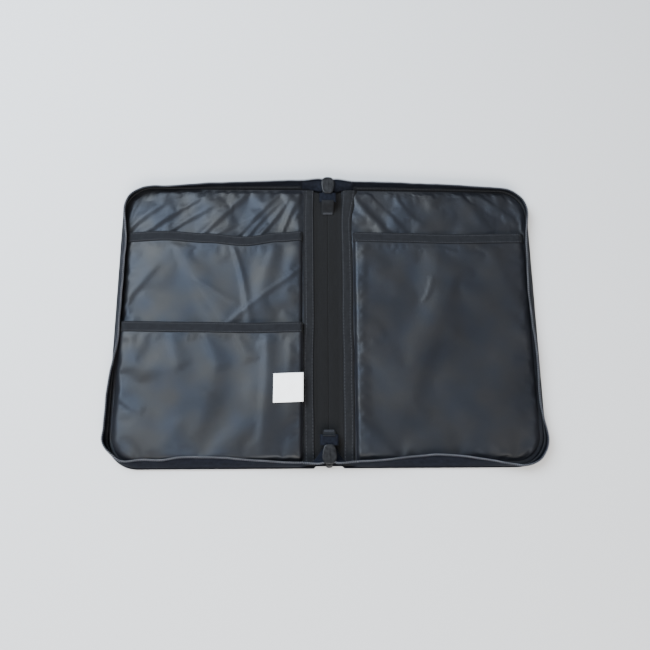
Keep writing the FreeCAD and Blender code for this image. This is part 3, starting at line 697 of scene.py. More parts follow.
def lining_taffeta():
    """Thin shiny taffeta with fine ribs, whose gleam runs from bluish to pale."""
    rough = 0.43
    f = Finish("lining_taffeta", rough, specular_ior_level=0.2, sheen_weight=0.02, sheen_roughness=0.35,
               anisotropic=0.3, sheen_tint=(0.72, 0.8, 1.0, 1))
    place = f.place()
    rib = f.wave(place, 0.42, "Y")
    threads = f.math("ADD", f.math("MULTIPLY", f.wave(place, 0.28, "X"), 0.45), rib)
    streaks = f.cloud(place, 70)
    f.shades(f.mix(threads, 0.25, streaks, 0.7), (0.0058, 0.0062, 0.0078), (0.0105, 0.011, 0.0132))
    f.relief(threads, 0.04, 0.5)
    f.rough(streaks, rough - 0.03, rough + 0.04)
    f.ramp(f.cloud(place, 38, 1.0), (0.70, 0.82, 1.0), (0.97, 0.96, 0.90), 0.35, "Specular Tint")
    return f.material


def spine_fabric():
    """Black matt cloth with a short nap."""
    f = Finish("spine_fabric", 0.9, specular_ior_level=0.04, sheen_weight=0.02, sheen_roughness=0.6)
    place = f.place()
    nap = f.cloud(place, 0.9, 5.0)
    weave = plain_weave(f, place, 0.9)
    f.shades(f.mix(nap, 0.7, weave, 0.3), (0.003, 0.003, 0.0032), (0.0145, 0.0148, 0.0155))
    f.relief(f.math("ADD", nap, weave), 0.2, 0.9)
    return f.material


def binding_ribbon(name, dark, light, ribs_along="X", picks_along="Y"):
    """Ribbed binding tape, with its ribs and its fine picks across one another."""
    f = Finish(name, 0.72, specular_ior_level=0.07, sheen_weight=0.02, sheen_roughness=0.4)
    place = f.place()
    picks = f.math("MULTIPLY", f.wave(place, 0.5, picks_along), 0.35)
    height = f.math("ADD", f.wave(place, 1.05, ribs_along), picks)
    f.shades(f.mix(height, 0.42, f.cloud(place, 5, 4.0), 0.4), dark, light)
    f.relief(height, 0.22, 0.9)
    return f.material


def zipper_tape():
    """Dark navy twill tape."""
    f = Finish("zipper_tape", 0.7, specular_ior_level=0.06, sheen_weight=0.015, sheen_roughness=0.45)
    place = f.place()
    height = f.mix(f.wave(place, 0.8, "Y"), 0.6, f.wave(place, 0.9, "DIAGONAL"), 0.6)
    f.shades(f.math("MULTIPLY", height, f.cloud(place, 4)), (0.002, 0.0026, 0.005), (0.010, 0.0125, 0.020))
    f.relief(height, 0.16, 0.9)
    return f.material


def coil_nylon():
    """Smooth grey nylon wire."""
    f = Finish("coil_nylon", 0.3, specular_ior_level=0.6, coat_weight=0.25, coat_roughness=0.2)
    place = f.place(False)
    f.shades(f.cloud(place, 14), (0.045, 0.048, 0.057), (0.105, 0.11, 0.127))
    f.relief(f.cloud(place, 0.5), 0.03, 0.4)
    f.rough(f.cloud(place, 3), 0.24, 0.42)
    return f.material


def sewing_thread(name, dark, light):
    """Twisted thread."""
    f = Finish(name, 0.6, specular_ior_level=0.25, sheen_weight=0.08, sheen_roughness=0.4)
    place = f.place(False)
    f.shades(f.cloud(place, 1.2), dark, light)
    f.relief(f.wave(place, 0.3, "DIAGONAL"), 0.05, 0.8)
    return f.material


def slider_metal():
    """Black lacquered die-cast metal, lightly pitted and worn."""
    f = Finish("slider_metal", 0.42, metallic=0.1, specular_ior_level=0.1, coat_weight=0.03,
               coat_roughness=0.3)
    place = f.place(False)
    pitting = f.cloud(place, 0.8, 4.0)
    wear = f.cloud(place, 4, 5.0)
    f.shades(wear, (0.004, 0.0042, 0.0047), (0.016, 0.0165, 0.018))
    f.relief(pitting, 0.05, 0.5)
    f.rough(wear, 0.26, 0.48)
    return f.material


def label_satin():
    """White woven satin."""
    f = Finish("label_satin", 0.42, specular_ior_level=0.5, sheen_weight=0.3, sheen_roughness=0.3)
    place = f.place()
    ribs = f.wave(place, 0.35, "Y")
    f.shades(f.cloud(place, 6), (0.90, 0.90, 0.895), (0.965, 0.965, 0.96))
    f.relief(f.math("ADD", ribs, f.math("MULTIPLY", f.wave(place, 0.3, "X"), 0.5)), 0.04, 0.6)
    return f.material


def stiffener_sheet():
    """Dark rough sheet, hidden inside the covers and the spine."""
    f = Finish("stiffener_sheet", 0.85, specular_ior_level=0.3)
    place = f.place(False)
    grain = f.cloud(place, 1.1, 8.0)
    f.shades(f.mix(grain, 0.6, f.cloud(place, 12), 0.4), (0.016, 0.0155, 0.015), (0.042, 0.040, 0.038))
    f.relief(grain, 0.12, 0.7)
    return f.material


def foam_sheet():
    """Grey foam with small open cells."""
    f = Finish("foam_sheet", 0.95, specular_ior_level=0.2, sheen_weight=0.2)
    place = f.place(False)
    cells = f.node("ShaderNodeTexVoronoi", scale=1 / (0.7 * MM))
    f.link(place, cells.inputs["Vector"])
    f.shades(f.cloud(place, 8), (0.07, 0.07, 0.075), (0.12, 0.12, 0.125))
    f.relief(cells.outputs["Distance"], 0.25, 0.9)
    return f.material


NYLON = outer_nylon()
LINING = lining_taffeta()
SPINE_CLOTH = spine_fabric()
RIBBON = binding_ribbon("binding_ribbon", (0.0028, 0.003, 0.0038), (0.015, 0.0162, 0.0192))
SEAM_RIBBON = binding_ribbon("seam_ribbon", (0.002, 0.0022, 0.003), (0.0085, 0.0093, 0.0115))
RIBBON_UPRIGHT = binding_ribbon(
    "binding_ribbon_upright", (0.003, 0.0031, 0.0037), (0.0155, 0.0163, 0.0183), "Y", "X")
ZIP_TAPE = zipper_tape()
COIL = coil_nylon()
THREAD = sewing_thread("sewing_thread", (0.016, 0.017, 0.021), (0.045, 0.047, 0.055))
PALE_THREAD = sewing_thread("pale_thread", (0.6, 0.6, 0.59), (0.8, 0.8, 0.79))
METAL = slider_metal()
LABEL = label_satin()
STIFFENER = stiffener_sheet()
FOAM = foam_sheet()


# ---------------------------------------------------------------- how pieces stand in for CAD nodes
def stand_in(made, slot, *nodes, rides=None):
    """Hides the CAD nodes a piece stands for and, if rides names a body, hangs the piece from that body."""
    if rides:
        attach(made, rides)
    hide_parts(*nodes)
    return made


def over_fold(made):
    """Bakes a piece's placement into its mesh, for a piece that spans its cover and the spine."""
    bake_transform(made)


# ---------------------------------------------------------------- the covers
def add_outer_cloth(side_name):
    """Half of the outer cloth: a cover and half the spine, with sewn channels on its underside."""
    seams, seam_depth = (19.9, 28.9), 0.24
    fixed = [4, 8, 12, 14, 15, 16, 17, 18]
    for seam in seams:
        fixed += [seam - 0.9, seam - 0.5, seam, seam + 0.5, seam + 0.9]
    fixed += [33, 38]
    x, y = cover_grid(0.0, 0.0, -HALF_Y, HALF_Y, 2.5, fixed)
    narrow = (HALF_Y - SPINE_HIGH[1]) * (1 - ease((x - SPINE_HIGH[0]) / (COVER_LOW[0] - SPINE_HIGH[0])))
    y = y * (HALF_Y - narrow) / HALF_Y
    groove = sum(np.exp(-((x - seam) / 0.55) ** 2) for seam in seams)
    rolled = ease((1.2 - depth_in(x, y)) / 1.2)
    under = seam_depth * groove + 0.3 * rolled + 0.06 * (1 + noise(x, y, 30, 5))
    over = COVER_HIGH[2] - 0.25 * rolled
    flat = np.stack((x, y), -1)
    shape = add_sheet(Shape(), np.dstack((x, y, over)), np.dstack((x, y, under)), flat)
    rows = np.arange(-HALF_Y + 5, HALF_Y - 4, 3.4)
    for seam in seams:
        centres = np.column_stack((np.full(len(rows), seam), rows, np.full(len(rows), seam_depth)))
        add_stitches(shape, centres, (0, 1, 0), (0, 0, -1), 2.5, 0.2)
    made = shape.make(f"{side_name}_outer_cloth", NYLON, THREAD, side=SIDES[side_name])
    over_fold(made)
    stand_in(made, "outer_cloth", f"{side_name}_outer_cover", "spine_outer_cover")


def layer_outline(x_in, inset):
    """The outline of a flat layer inside a cover, anticlockwise, for the right cover."""
    edge, _, _ = edge_run(inset, x_in + 2, 4.0)
    edge = edge[::-1, :2]
    corner = np.array(((x_in, edge[0, 1] + 0.6), (x_in + 0.6, edge[0, 1])))
    return np.concatenate((corner, edge, corner[::-1] * (1, -1)))


def add_layer(side_name, name, node, slot, bevel, finish):
    """A flat layer inside a cover, with rounded edges."""
    low, high = box_mm(f"right_{node}")
    shape = add_plate(Shape(), layer_outline(low[0], OUTER_X - high[0]), low[2], high[2], bevel)
    made = shape.make(f"{side_name}_{name}", finish, side=SIDES[side_name])
    return stand_in(made, slot, f"{side_name}_{node}", rides=f"{side_name}_cover")


def add_board(side_name):
    """The thin sheet that stiffens a cover."""
    add_layer(side_name, "board", "stiffener_board", "stiffener", 0.3, STIFFENER)


def add_foam(side_name):
    """The thin foam between a cover's stiffener and its lining, soft at its edges."""
    made = add_layer(side_name, "foam", "foam_padding", "foam", 0.4, FOAM)


def add_spine_board():
    """The narrow stiffener inside the spine, with its corners cut."""
    low, high = box_mm("spine_stiffener")
    cut = 1.2
    outline = np.array([
        (low[0] + cut, low[1]), (high[0] - cut, low[1]), (high[0], low[1] + cut), (high[0], high[1] - cut),
        (high[0] - cut, high[1]), (low[0] + cut, high[1]), (low[0], high[1] - cut), (low[0], low[1] + cut),
    ])
    made = add_plate(Shape(), outline, low[2], high[2], 0.3).make("spine_board", STIFFENER)
    stand_in(made, "stiffener", "spine_stiffener", rides="spine")


def add_lining(side_name):
    """A cover's lining. It lies slack above the pockets, where the folds show."""
    half = HALF_Y - LAYER_INSET
    x, y = cover_grid(LINING_LOW[0], LAYER_INSET, -half, half, CLOTH_STEP)
    z = LINING_HIGH[2] + strip_relief(x, y, side_name) * ease((y - 88) / 12)
    sewn = (y < 92) | (depth_in(x, y) < LAYER_INSET + 2.5) | (x < 29)
    top = finer(settle(np.dstack((x, y, z)), sewn, 0.007, 1.5, 1.8))
    top[..., 2] = np.maximum(top[..., 2], LINING_HIGH[2])
    bottom = top - (0, 0, CLOTH)
    bottom[..., 2] = np.maximum(bottom[..., 2], LINING_LOW[2])
    shape = add_sheet(Shape(), top, bottom, finer(np.dstack((x, y))))
    made = shape.make(f"{side_name}_lining_cloth", LINING, side=SIDES[side_name])
    stand_in(made, "lining_cloth", f"{side_name}_lining", rides=f"{side_name}_cover")


def add_spine_lining(side_name):
    """Half of the matt cloth in the spine's trough. It rises to the covers and creases where they fold."""
    low, high = box_mm("spine_lining")
    columns = np.concatenate((np.linspace(0, 12, 9), np.linspace(12.8, 17.6, 9)))
    x, y = np.meshgrid(columns, np.linspace(low[1], high[1], 150))
    lift = ease((x - 11.5) / 5.5) * (LINING_HIGH[2] - high[2])
    z = high[2] + lift + 0.28 * noise(x, y * 0.5, 7, 91) * ease((16.5 - x) / 6)
    z += 0.35 * (1 + noise(x * 0.6, y, 13, 92)) * ease(x / 5) * ease((15 - x) / 5) + 0.1
    top = np.dstack((x, y, z))
    shape = add_sheet(Shape(), top, top - (0, 0, CLOTH), np.dstack((x, y)))
    made = shape.make(f"{side_name}_spine_lining", SPINE_CLOTH, side=SIDES[side_name])
    over_fold(made)
    stand_in(made, "spine_cloth", "spine_lining")


def add_piping(side_name):
    """The bead round a cover's edge, carried on to the middle of the spine's top end."""
    radius = (PIPING_HIGH[2] - PIPING_LOW[2]) / 2
    step = 1.6
    path, out, _ = edge_run(OUTER_X - PIPING_HIGH[0] + radius, COVER_LOW[0] + 1, step)
    path[:, 2] = (PIPING_LOW[2] + PIPING_HIGH[2]) / 2
    x = np.arange(0, path[0, 0] - 0.8, step)
    y = path[0, 1] - (HALF_Y - SPINE_HIGH[1]) * (1 - ease((x - 12) / 7))
    path = np.concatenate((np.column_stack((x, y, np.full(len(x), path[0, 2]))), path))
    out = np.concatenate((np.tile((0.0, 1, 0), (len(x), 1)), out))
    run = np.arange(len(path)) * step
    swell = 1 + 0.05 * wander(run, 7, 101) + 0.04 * np.sin(run * 2 * math.pi / 3.4)
    sections = ring_sections(path, out, (0, 0, 1), radius, radius, 12)
    sections = path[:, None, :] + (sections - path[:, None, :]) * swell[:, None, None]
    made = add_tube(Shape(), sections).make(f"{side_name}_edge_piping", NYLON, side=SIDES[side_name])
    over_fold(made)
    stand_in(made, "outer_cloth", f"{side_name}_piping")


# ---------------------------------------------------------------- the zip
def add_zip_band(side_name):
    """The woven zip tape that stands round a cover, bowed between its foot and the zip."""
    foot, top, out = zip_lines(side_name)
    t = np.linspace(0, 1, 8)[None, :, None]
    run = np.arange(len(foot)) * ZIP_STEP
    bow = 1.1 + 0.5 * wander(run, 34, 103)
    grid = foot[:, None, :] * (1 - t) + top[:, None, :] * t
    grid += out[:, None, :] * (bow[:, None, None] * np.sin(math.pi * t) * 0.9)
    ripple = noise(run[:, None] + 0 * t[..., 0], 4 * t[..., 0], 8, 104) * np.sin(math.pi * t[..., 0] * 0.8)
    grid += out[:, None, :] * 0.18 * ripple[..., None]
    shape = add_cloth(Shape(), grid[:, ::-1], 0.55, lengths(grid))
    made = shape.make(f"{side_name}_zip_tape", ZIP_TAPE, side=SIDES[side_name])
    over_fold(made)
    stand_in(made, "zip_tape", f"{side_name}_zip_band")


def add_zip_coil(side_name):
    """Half of the coil zip: a helix of nylon wire round a cord, along the top of its tape."""
    foot, top, out = zip_lines(side_name)
    up = unit(top - foot)
    side = unit(out - up * np.sum(out * up, 1, keepdims=True))
    half_up = (COIL_HIGH[2] - COIL_LOW[2]) / 2
    wire = 0.42
    reach_side, reach_up = 1.3 - wire, half_up - wire
    centre = top + up * half_up
    step = np.concatenate(([0], np.cumsum(np.linalg.norm(np.diff(centre, axis=0), axis=1))))
    s = np.arange(0, step[-1], COIL_PITCH / COIL_STEPS)
    middle, side, up = sampled(s, step, centre), unit(sampled(s, step, side)), unit(sampled(s, step, up))
    turn = 2 * math.pi * s / COIL_PITCH
    round_way = side * np.cos(turn)[:, None] * reach_side + up * np.sin(turn)[:, None] * reach_up
    path = middle + round_way
    along = unit(np.gradient(path, axis=0))
    away = unit(round_way - along * np.sum(round_way * along, 1, keepdims=True))
    shape = add_tube(Shape(), ring_sections(path, away, np.cross(along, away), wire, wire, 6))
    once = slice(None, None, COIL_STEPS)
    cord = middle[once] - up[once] * 0.95
    add_tube(shape, ring_sections(cord, side[once], up[once], 1.15, 0.6, 10, 0.8), finish=1)
    made = shape.make(f"{side_name}_coil", COIL, ZIP_TAPE, side=SIDES[side_name])
    over_fold(made)
    stand_in(made, "zip_coil", f"{side_name}_zip_coil")


def add_seam_tape(side_name):
    """The tape that binds the seam at the band's foot, inside the case, with its stitches."""
    foot, out, share = edge_run(BAND_INSET, BAND_START, ZIP_STEP)
    half_height = (SEAM_HIGH[2] - SEAM_LOW[2]) / 2
    level = (SEAM_HIGH[2] + SEAM_LOW[2]) / 2
    slope = zip_lean(side_name, share) / (BAND_HIGH[2] - BAND_LOW[2])
    up = unit(np.concatenate((out[:, :2] * slope[:, None], np.ones((len(out), 1))), 1))
    path = foot + out * (slope * (level - BAND_LOW[2]) - 0.55)[:, None]
    path[:, 2] = level + 0.2 * wander(share * ZIP_RUN, 21, 105)
    sections = ring_sections(path, out, up, 0.65, half_height, 12, 0.7)
    shape = add_tube(Shape(), sections, lengths(sections))
    picks = np.arange(3, len(path) - 3, 2)
    way = np.gradient(path, axis=0)
    inner = path - out * 0.66 + up * 0.6
    add_stitches(shape, inner[picks], way[picks], -out[picks], 2.7, 0.2)
    made = shape.make(f"{side_name}_seam_binding", SEAM_RIBBON, THREAD, side=SIDES[side_name])
    stand_in(made, "binding_tape", f"{side_name}_seam_tape", rides=f"{side_name}_cover")


# ---------------------------------------------------------------- bindings, pockets and label
def add_spine_tape(side_name):
    """The tape that binds a cover's inner seam, with two rows of stitches."""
    low, high = SPINE_TAPE_LOW, SPINE_TAPE_HIGH
    t, y = np.meshgrid(np.linspace(0, 1, 9), np.linspace(low[1], high[1], 175))
    seed = 111 + (side_name == "right")
    shift = 0.5 * wander(y, 45, seed) + 0.15 * wander(y, 14, seed + 2)
    x = low[0] - 0.3 + shift + (high[0] - low[0] + 0.6 + 0.5 * wander(y, 38, seed, 9)) * t
    crown = 0.55 * (1 - (2 * t - 1) ** 4)
    z = COVER_TOP + 0.45 + crown + 0.28 * noise(x, y, 15, seed + 3) * np.sin(math.pi * t)
    if side_name == "right":
        aside = ease((y - 128) / 44)
        x += aside * (5.5 * t + 1.0)
        z += aside * 1.6 * np.sin(math.pi * t)
    middle = np.dstack((x, y, z))
    shape = add_cloth(Shape(), middle, TAPE)
    lift = grid_normals(middle)
    picks = np.arange(1, len(middle) - 1, 2)
    way = np.gradient(middle, axis=0)
    for column in (1, 6):
        place = middle[picks, column] + lift[picks, column] * (TAPE / 2 + 0.02)
        add_stitches(shape, place, way[picks, column], lift[picks, column], 2.9, 0.24)
    made = shape.make(f"{side_name}_spine_binding", RIBBON_UPRIGHT, THREAD, side=SIDES[side_name])
    stand_in(made, "binding_tape", f"{side_name}_spine_tape", rides=f"{side_name}_cover")


def add_pocket(pocket):
    """A pocket's cloth, sewn in on three sides and open at its mouth."""
    y_low = -(HALF_Y - pocket.foot)
    fixed = [pocket.spine_x + 1.4, pocket.spine_x + 3.4]
    x, y = cover_grid(pocket.spine_x, pocket.foot, y_low, pocket.mouth, CLOTH_STEP, fixed)
    sewn = y > pocket.mouth - MOUTH_WIDTH - 1
    sewn[:2], sewn[:, :3], sewn[:, -2:] = True, True, True
    points = finer(settle(pocket_points(x, y, pocket), sewn, 0.0022, 4.0, 1.6))
    pocket.settled = points
    shape = add_sheet(Shape(), points, points - grid_normals(points) * CLOTH, finer(np.dstack((x, y))))
    made = shape.make(f"{pocket.node}_cloth", LINING, side=SIDES[pocket.side_name])
    stand_in(made, "lining_cloth", pocket.node, rides=f"{pocket.side_name}_cover")


def add_mouth_tape(pocket):
    """The tape folded over a pocket's mouth, with a row of stitches along each edge."""
    columns = np.arange(pocket.spine_x + 0.3, OUTER_X - pocket.foot - 0.2, 1.6)
    x, y = np.meshgrid(columns, pocket.mouth - MOUTH_WIDTH * np.linspace(1, 0, 9))
    surface = pocket_points(x, y, pocket)
    lift = grid_normals(surface)
    gap, thick = 0.32, TAPE * 0.8
    belly = 0.16 * noise(x, y, 12, 121 + pocket.number)
    front = surface + lift * (gap + 0.1 + belly)[..., None]
    reach = CLOTH / 2 + gap
    middle = surface[-1] - lift[-1] * (CLOTH / 2)
    nose = []
    for angle in np.linspace(math.pi / 2, -math.pi / 2, 6)[1:-1]:
        nose.append(middle + (0, reach * math.cos(angle), 0) + lift[-1] * (reach * math.sin(angle)))
    back = (surface - lift * (CLOTH + gap))[::-1][:-1]
    sheet = np.concatenate((front, np.array(nose), back))
    sheet[1:-1] = 0.25 * sheet[:-2] + 0.5 * sheet[1:-1] + 0.25 * sheet[2:]
    shape = add_cloth(Shape(), sheet, thick)
    picks = np.arange(2, len(columns) - 2, 2)
    face_lift = grid_normals(sheet)
    way = np.gradient(sheet, axis=1)
    for row in (1, 7):
        place = sheet[row, picks] + face_lift[row, picks] * (thick / 2 + 0.02)
        add_stitches(shape, place, way[row, picks], face_lift[row, picks], 2.3, 0.22)
    made = shape.make(f"{pocket.node}_binding", RIBBON, THREAD, side=SIDES[pocket.side_name])
    stand_in(made, "binding_tape", f"{pocket.node}_tape", rides=f"{pocket.side_name}_cover")


def height_on(cloth, x, y):
    """The height of the settled cloth's nearest points under some places, weighed by nearness."""
    spots = cloth.reshape(-1, 3)
    spots = spots[np.abs(spots[:, 1] - y.mean()) < 40]
    spots = spots[spots[:, 0] < x.max() + 10]
    near = (x.reshape(-1, 1) - spots[:, 0]) ** 2 + (y.reshape(-1, 1) - spots[:, 1]) ** 2
    weight = np.exp(-near / 2.5)
    return ((weight @ spots[:, 2]) / weight.sum(1)).reshape(x.shape)


def add_label():
    """The blank woven label on the left front pocket, sewn along its edge beside the spine."""
    low, high = box_mm("care_label")
    shift, tilt = 4.6, 1.5
    columns = np.linspace(-high[0] - shift, -low[0] - shift, 22)
    x, y = np.meshgrid(columns, np.linspace(low[1], high[1], 22))
    level_x = np.maximum(x, FRONT.spine_x + SPINE_SLOPE + 1)
    t = (x - columns[0]) / (columns[-1] - columns[0])
    curl = 0.9 * ease((t - 0.55) / 0.45) * (0.6 + 0.4 * noise(x, y, 16, 131))
    z = height_on(FRONT.settled, level_x, y) + (0.3 + curl + 0.25 * ease(t * 8))
    surface = np.dstack((x, y + tilt * (0.5 - t), z))
    shape = add_cloth(Shape(), surface, 0.28, np.dstack((x, y)))
    picks = np.arange(1, len(surface) - 1, 2)
    normal = grid_normals(surface)[picks, 1]
    way = np.gradient(surface, axis=0)[picks, 1]
    add_stitches(shape, surface[picks, 1] + normal * 0.16, way, normal, 2.4, 0.2)
    made = shape.make("care_label_cloth", LABEL, PALE_THREAD, side=-1)
    stand_in(made, "label_cloth", "care_label", rides="left_cover")


# ---------------------------------------------------------------- the spine's ends
def end_frame(end):
    """The slider's tail mouth and the way out of the case, at one end of the spine."""
    low, high = box_mm(f"{end}_slider_body")
    if end == "top":
        return low[1], 1
    return high[1], -1


def turned(shape, end):
    """Moves a shape drawn from the slider's tail mouth, +Y outwards, to its end of the spine."""
    mouth, sign = end_frame(end)
    for points in shape.points:
        points[:, :2] *= sign
        points[:, 1] += mouth
    return shape


def add_slider(end):
    """The die-cast slider: two plates, flanges, the wedge between them and the bridge for its pull."""
    low, high = box_mm(f"{end}_slider_body")
    base, top = low[2] + BRIDGE_DROP, high[2]
    plate = rounded([(-5.8, 0), (5.8, 0), (8.2, 10.5), (8.2, 16.5), (4.8, 22), (-4.8, 22), (-8.2, 16.5),
                     (-8.2, 10.5)])
    shape = add_plate(Shape(), plate, base, base + 1.6, 0.35)
    add_plate(shape, plate, top - 1.6, top - 0.25, 0.45, 0.25)
    flange = np.array([(5.75, 0.4), (8.1, 10.5), (8.1, 16.3), (7.0, 18.2), (6.45, 18.0), (6.4, 16), (4.2, 9),
                       (4.2, 0.4)])
    for mirror in (1, -1):
        add_plate(shape, rounded(flange * (mirror, 1), 2)[::mirror], base + 1.2, base + 4.3, 0.2)
    wedge = rounded([(0, 12), (1.7, 14.4), (0, 19), (-1.7, 14.4)], 2)
    add_plate(shape, wedge, base + 1.2, top - 1.2, 0.15)
    rail = rounded([(-0.9, 4.5), (0.9, 4.5), (1.2, 16), (0.9, 18.5), (-0.9, 18.5), (-1.2, 16)], 2)
    add_plate(shape, rail, top - 0.4, top + 0.1, 0.15, 0.02)
    angle = np.linspace(0, math.pi, 25)
    bridge = np.column_stack((0 * angle, 12.2 - 6.8 * np.cos(angle),
                              base + 0.5 - BRIDGE_DROP * np.sin(angle) ** 0.6))
    bridge[:, 2] = np.maximum(bridge[:, 2], low[2] + 0.6)
    way = unit(np.gradient(bridge, axis=0))
    add_tube(shape, ring_sections(bridge, (1, 0, 0), np.cross(way, (1, 0, 0)), 1.2, 0.6, 12, 0.75))
    made = turned(shape, end).make(f"{end}_slider", METAL)
    stand_in(made, "zip_metal", f"{end}_slider_body", rides=f"{end}_slider")


PULL_MIDDLE = np.array((0, 4.0))
PULL_TURN = {"top": -36, "bottom": 198}  # how far each pull is turned about its hinge, in degrees


def even_loop(points, count):
    """A closed outline's points, evenly spaced by angle about the pull's middle."""
    angle = np.arctan2(*(points - PULL_MIDDLE).T[::-1]) % (2 * math.pi)
    order = np.argsort(angle)
    angle, points = angle[order], points[order]
    wanted = np.linspace(0, 2 * math.pi, count, endpoint=False)
    return np.column_stack([np.interp(wanted, angle, points[:, i], period=2 * math.pi) for i in (0, 1)])


def add_pull(end):
    """The pull: a flat frame with a long window, hanging from the slider's bridge."""
    count, half, bevel = 48, 0.7, 0.25
    outer = rounded([(-4.2, -0.7), (4.2, -0.7), (4.2, 9.5), (2.4, 11.5), (-2.4, 11.5), (-4.2, 9.5)])
    inner = rounded([(-2.2, 0.7), (2.2, 0.7), (2.2, 7.0), (-2.2, 7.0)], 1)
    outer, inner = even_loop(outer, count), even_loop(inner, count)
    outer_bevelled = outer - unit(outer - PULL_MIDDLE) * bevel
    inner_bevelled = inner + unit(inner - PULL_MIDDLE) * bevel
    loops = []
    for flat, z in (
        (outer_bevelled, -half), (outer, -half + bevel), (outer, half - bevel), (outer_bevelled, half),
        (inner_bevelled, half), (inner, half - bevel), (inner, -half + bevel), (inner_bevelled, -half),
    ):
        loops.append(np.column_stack((flat, np.full(count, z))))
    shape = add_tube(Shape(), np.array(loops), closed=True)
    hinge = Vector(joint_place(f"{end}_pull_swing")) / MM
    move = Matrix.Translation(hinge) @ Matrix.Rotation(math.radians(PULL_TURN[end]), 4, "X")
    shape.points = [np.array([move @ Vector(p) for p in points]) for points in shape.points]
    made = shape.make(f"{end}_pull", METAL)
    stand_in(made, "zip_metal", f"{end}_pull_tab", rides=f"{end}_pull")


def add_tail_chain(end):
    """The joined zip beyond the slider's tail: two rows of coil locked together."""
    low, high = box_mm(f"{end}_tail_chain")
    length = high[1] - low[1]
    middle_z = (low[2] + high[2]) / 2
    apart, half_side, half_up, wire, start = 1.35, 1.5, 0.95, 0.34, -0.3
    s = np.arange(0, length, COIL_PITCH / COIL_STEPS)
    shape = Shape()
    for side in (-1, 1):
        turn = 2 * math.pi * s / COIL_PITCH + (math.pi if side > 0 else 0)
        path = np.column_stack((side * apart + half_side * np.cos(turn), start - s,
                                middle_z + half_up * np.sin(turn)))
        way = unit(np.gradient(path, axis=0))
        away = unit(path - np.column_stack((np.full(len(s), side * apart), path[:, 1],
                                            np.full(len(s), middle_z))))
        away = unit(away - way * np.sum(away * way, 1, keepdims=True))
        add_tube(shape, ring_sections(path, away, np.cross(way, away), wire, wire, 6))
    cord = np.column_stack((np.zeros(2), (start, start - length), np.full(2, middle_z)))
    add_tube(shape, ring_sections(cord, (1, 0, 0), (0, 0, 1), 2.6, 0.7, 16, 0.6), finish=1)
    made = turned(shape, end).make(f"{end}_joined_coil", COIL, ZIP_TAPE)
    stand_in(made, "zip_coil", f"{end}_tail_chain", rides="spine")


def add_tail_tape(end):
    """The zip's tape beyond the slider, lying flat over the joined chain and rolled down at its edges."""
    low, high = box_mm(f"{end}_tail_tape")
    half = (high[0] - low[0]) / 2
    start, stop = -11.2, 1.2
    bend_x, roll = 8.2, 2.4
    flat_x, y = np.meshgrid(np.linspace(-half, half, 33), np.linspace(start, stop, 12))
    bend = np.clip((np.abs(flat_x) - bend_x) / roll, 0, math.pi / 2 + 0.1)
    x = np.sign(flat_x) * (np.minimum(np.abs(flat_x), bend_x) + roll * np.sin(bend))
    z = (low[2] + high[2]) / 2 - roll * (1 - np.cos(bend)) + 0.06 * noise(flat_x, y, 5, 141)
    ridge = 0.12 * np.exp(-((np.abs(x) - 3.2) / 1.1) ** 2)
    shape = add_cloth(Shape(), np.dstack((x, y, z + ridge)), 0.5)
    made = turned(shape, end).make(f"{end}_joined_tape", ZIP_TAPE)
    stand_in(made, "zip_tape", f"{end}_tail_tape", rides="spine")


def add_end_stop(end):
    """The moulded stop that ends the chain."""
    low, high = box_mm(f"{end}_end_stop")
    mouth, sign = end_frame(end)
    near, far = sorted((sign * (low[1] - mouth), sign * (high[1] - mouth)))
    half = high[0]
    outline = rounded([(-half, near), (half, near), (half, far), (-half, far)], 2)
    shape = turned(add_plate(Shape(), outline, low[2], high[2], 0.2, 0.05), end)
    stand_in(shape.make(f"{end}_stop", COIL), "zip_coil", f"{end}_end_stop", rides="spine")


def add_end_tab(end):
    """The folded tape that ties the zip's end down to the spine, with bars of stitches at its foot."""
    low, high = box_mm(f"{end}_end_tab")
    mouth, sign = end_frame(end)
    start = -9.0
    foot = min(sign * (low[1] - mouth), sign * (high[1] - mouth))
    half = (high[0] - low[0]) / 2
    across = np.linspace(-half, half, 13)
    x, s = np.meshgrid(across, np.linspace(0, 1, 24))
    y = start + (foot - start) * s
    fall = ease(s * 1.1 - 0.06)
    z = (high[2] + 0.1) * (1 - fall) + (low[2] + 0.75) * fall
    z += 0.25 * noise(x, y, 5, 151) * np.sin(math.pi * s) - 0.5 * np.abs(x / half) ** 6
    grid = np.dstack((x, y, z))[::-1]
    shape = add_cloth(Shape(), grid, 0.9)
    lift = grid_normals(grid)
    spots = np.linspace(-half * 0.72, half * 0.72, 12)
    for row in ((1, 3) if end == "top" else (1, 3, 5, 7, 9)):
        centre, normal = sampled(spots, across, grid[row]), sampled(spots, across, lift[row])
        add_stitches(shape, centre + normal * 0.48, (0.35, 1, 0), normal, 1.7, 0.27)
    made = turned(shape, end).make(f"{end}_tail_tab", RIBBON_UPRIGHT, THREAD)
    stand_in(made, "binding_tape", f"{end}_end_tab", rides="spine")


# ---------------------------------------------------------------- the room
def add_floor():
    """A plain pale floor, a hair below the case."""
    f = Finish("pale_floor", 0.9, specular_ior_level=0.1)
    f.shader.inputs["Base Color"].default_value = (0.52, 0.52, 0.52, 1)
    half, z = 6.0, -0.0004
    mesh = bpy.data.meshes.new("floor")
    corners = [(-half, -half, z), (half, -half, z), (half, half, z), (-half, half, z)]
    mesh.from_pydata(corners, [], [(0, 1, 2, 3)])
    mesh.materials.append(f.material)
    floor = bpy.data.objects.new("floor", mesh)
    bpy.context.scene.collection.objects.link(floor)


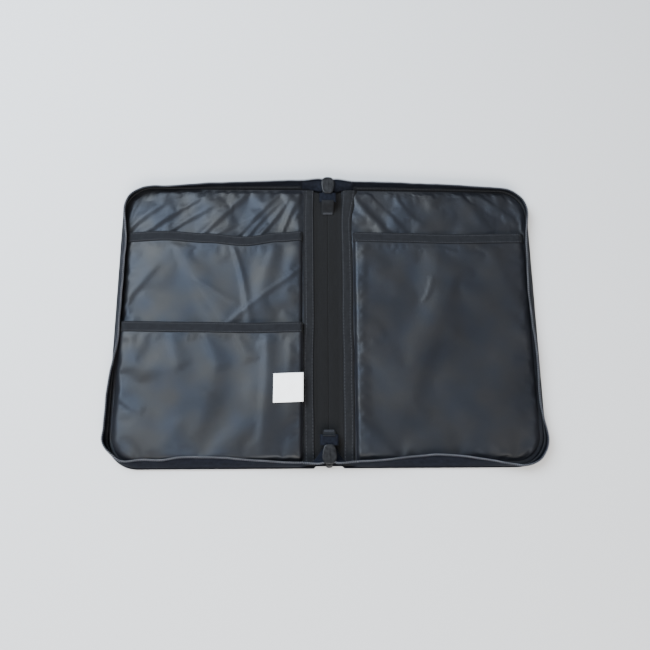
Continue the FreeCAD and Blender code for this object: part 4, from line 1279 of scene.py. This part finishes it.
def add_light(name, place, aim, size, power, colour):
    """A soft square lamp that faces a point."""
    lamp = bpy.data.lights.new(name, "AREA")
    lamp.shape = "RECTANGLE"
    lamp.size, lamp.size_y = size
    lamp.energy = power
    lamp.color = colour
    made = bpy.data.objects.new(name, lamp)
    made.location = place
    made.rotation_mode = "QUATERNION"
    made.rotation_quaternion = (Vector(aim) - Vector(place)).to_track_quat("-Z", "Y")
    bpy.context.scene.collection.objects.link(made)


def add_lights():
    """A cool soft light from the upper left, a large warm one from the front, and an even pale sky."""
    add_light("key", (-0.95, 0.62, 1.35), (-0.1, 0, 0), (1.15, 1.15), 98, (0.78, 0.88, 1.0))
    add_light("front", (0.1, -2.3, 1.9), (0, 0, 0), (2.2, 1.2), 165, (1.0, 0.965, 0.92))
    world = bpy.data.worlds.new("pale_sky")
    world.use_nodes = True
    sky = world.node_tree.nodes["Background"]
    sky.inputs["Color"].default_value = (1.0, 1.0, 1.0, 1)
    sky.inputs["Strength"].default_value = 0.75
    bpy.context.scene.world = world


def add_camera():
    """The camera above the case, a little towards its lower edge."""
    camera = bpy.data.objects.new("camera", bpy.data.cameras.new("camera"))
    camera.data.sensor_width = 36.0
    camera.data.lens = 31.77
    place = Vector((-28.55, -154.83, 684.12)) * MM
    right = Vector((0.99938, -0.00516, 0.03482))
    up = Vector((-0.00245, 0.97662, 0.21495))
    turn = Matrix((right, up, right.cross(up))).transposed()
    camera.matrix_world = Matrix.Translation(place) @ turn.to_4x4()
    bpy.context.scene.collection.objects.link(camera)
    bpy.context.scene.camera = camera


# ---------------------------------------------------------------- everything together
for cover_side in SIDES:
    add_outer_cloth(cover_side)
    add_board(cover_side)
    add_foam(cover_side)
    add_lining(cover_side)
    add_spine_lining(cover_side)
    add_piping(cover_side)
    add_zip_band(cover_side)
    add_zip_coil(cover_side)
    add_seam_tape(cover_side)
    add_spine_tape(cover_side)
add_spine_board()
for one_pocket in (BACK, FRONT, RIGHT):
    add_pocket(one_pocket)
    add_mouth_tape(one_pocket)
add_label()
for spine_end in ("top", "bottom"):
    add_slider(spine_end)
    add_pull(spine_end)
    add_tail_chain(spine_end)
    add_tail_tape(spine_end)
    add_end_stop(spine_end)
    add_end_tab(spine_end)
add_floor()
add_lights()
add_camera()
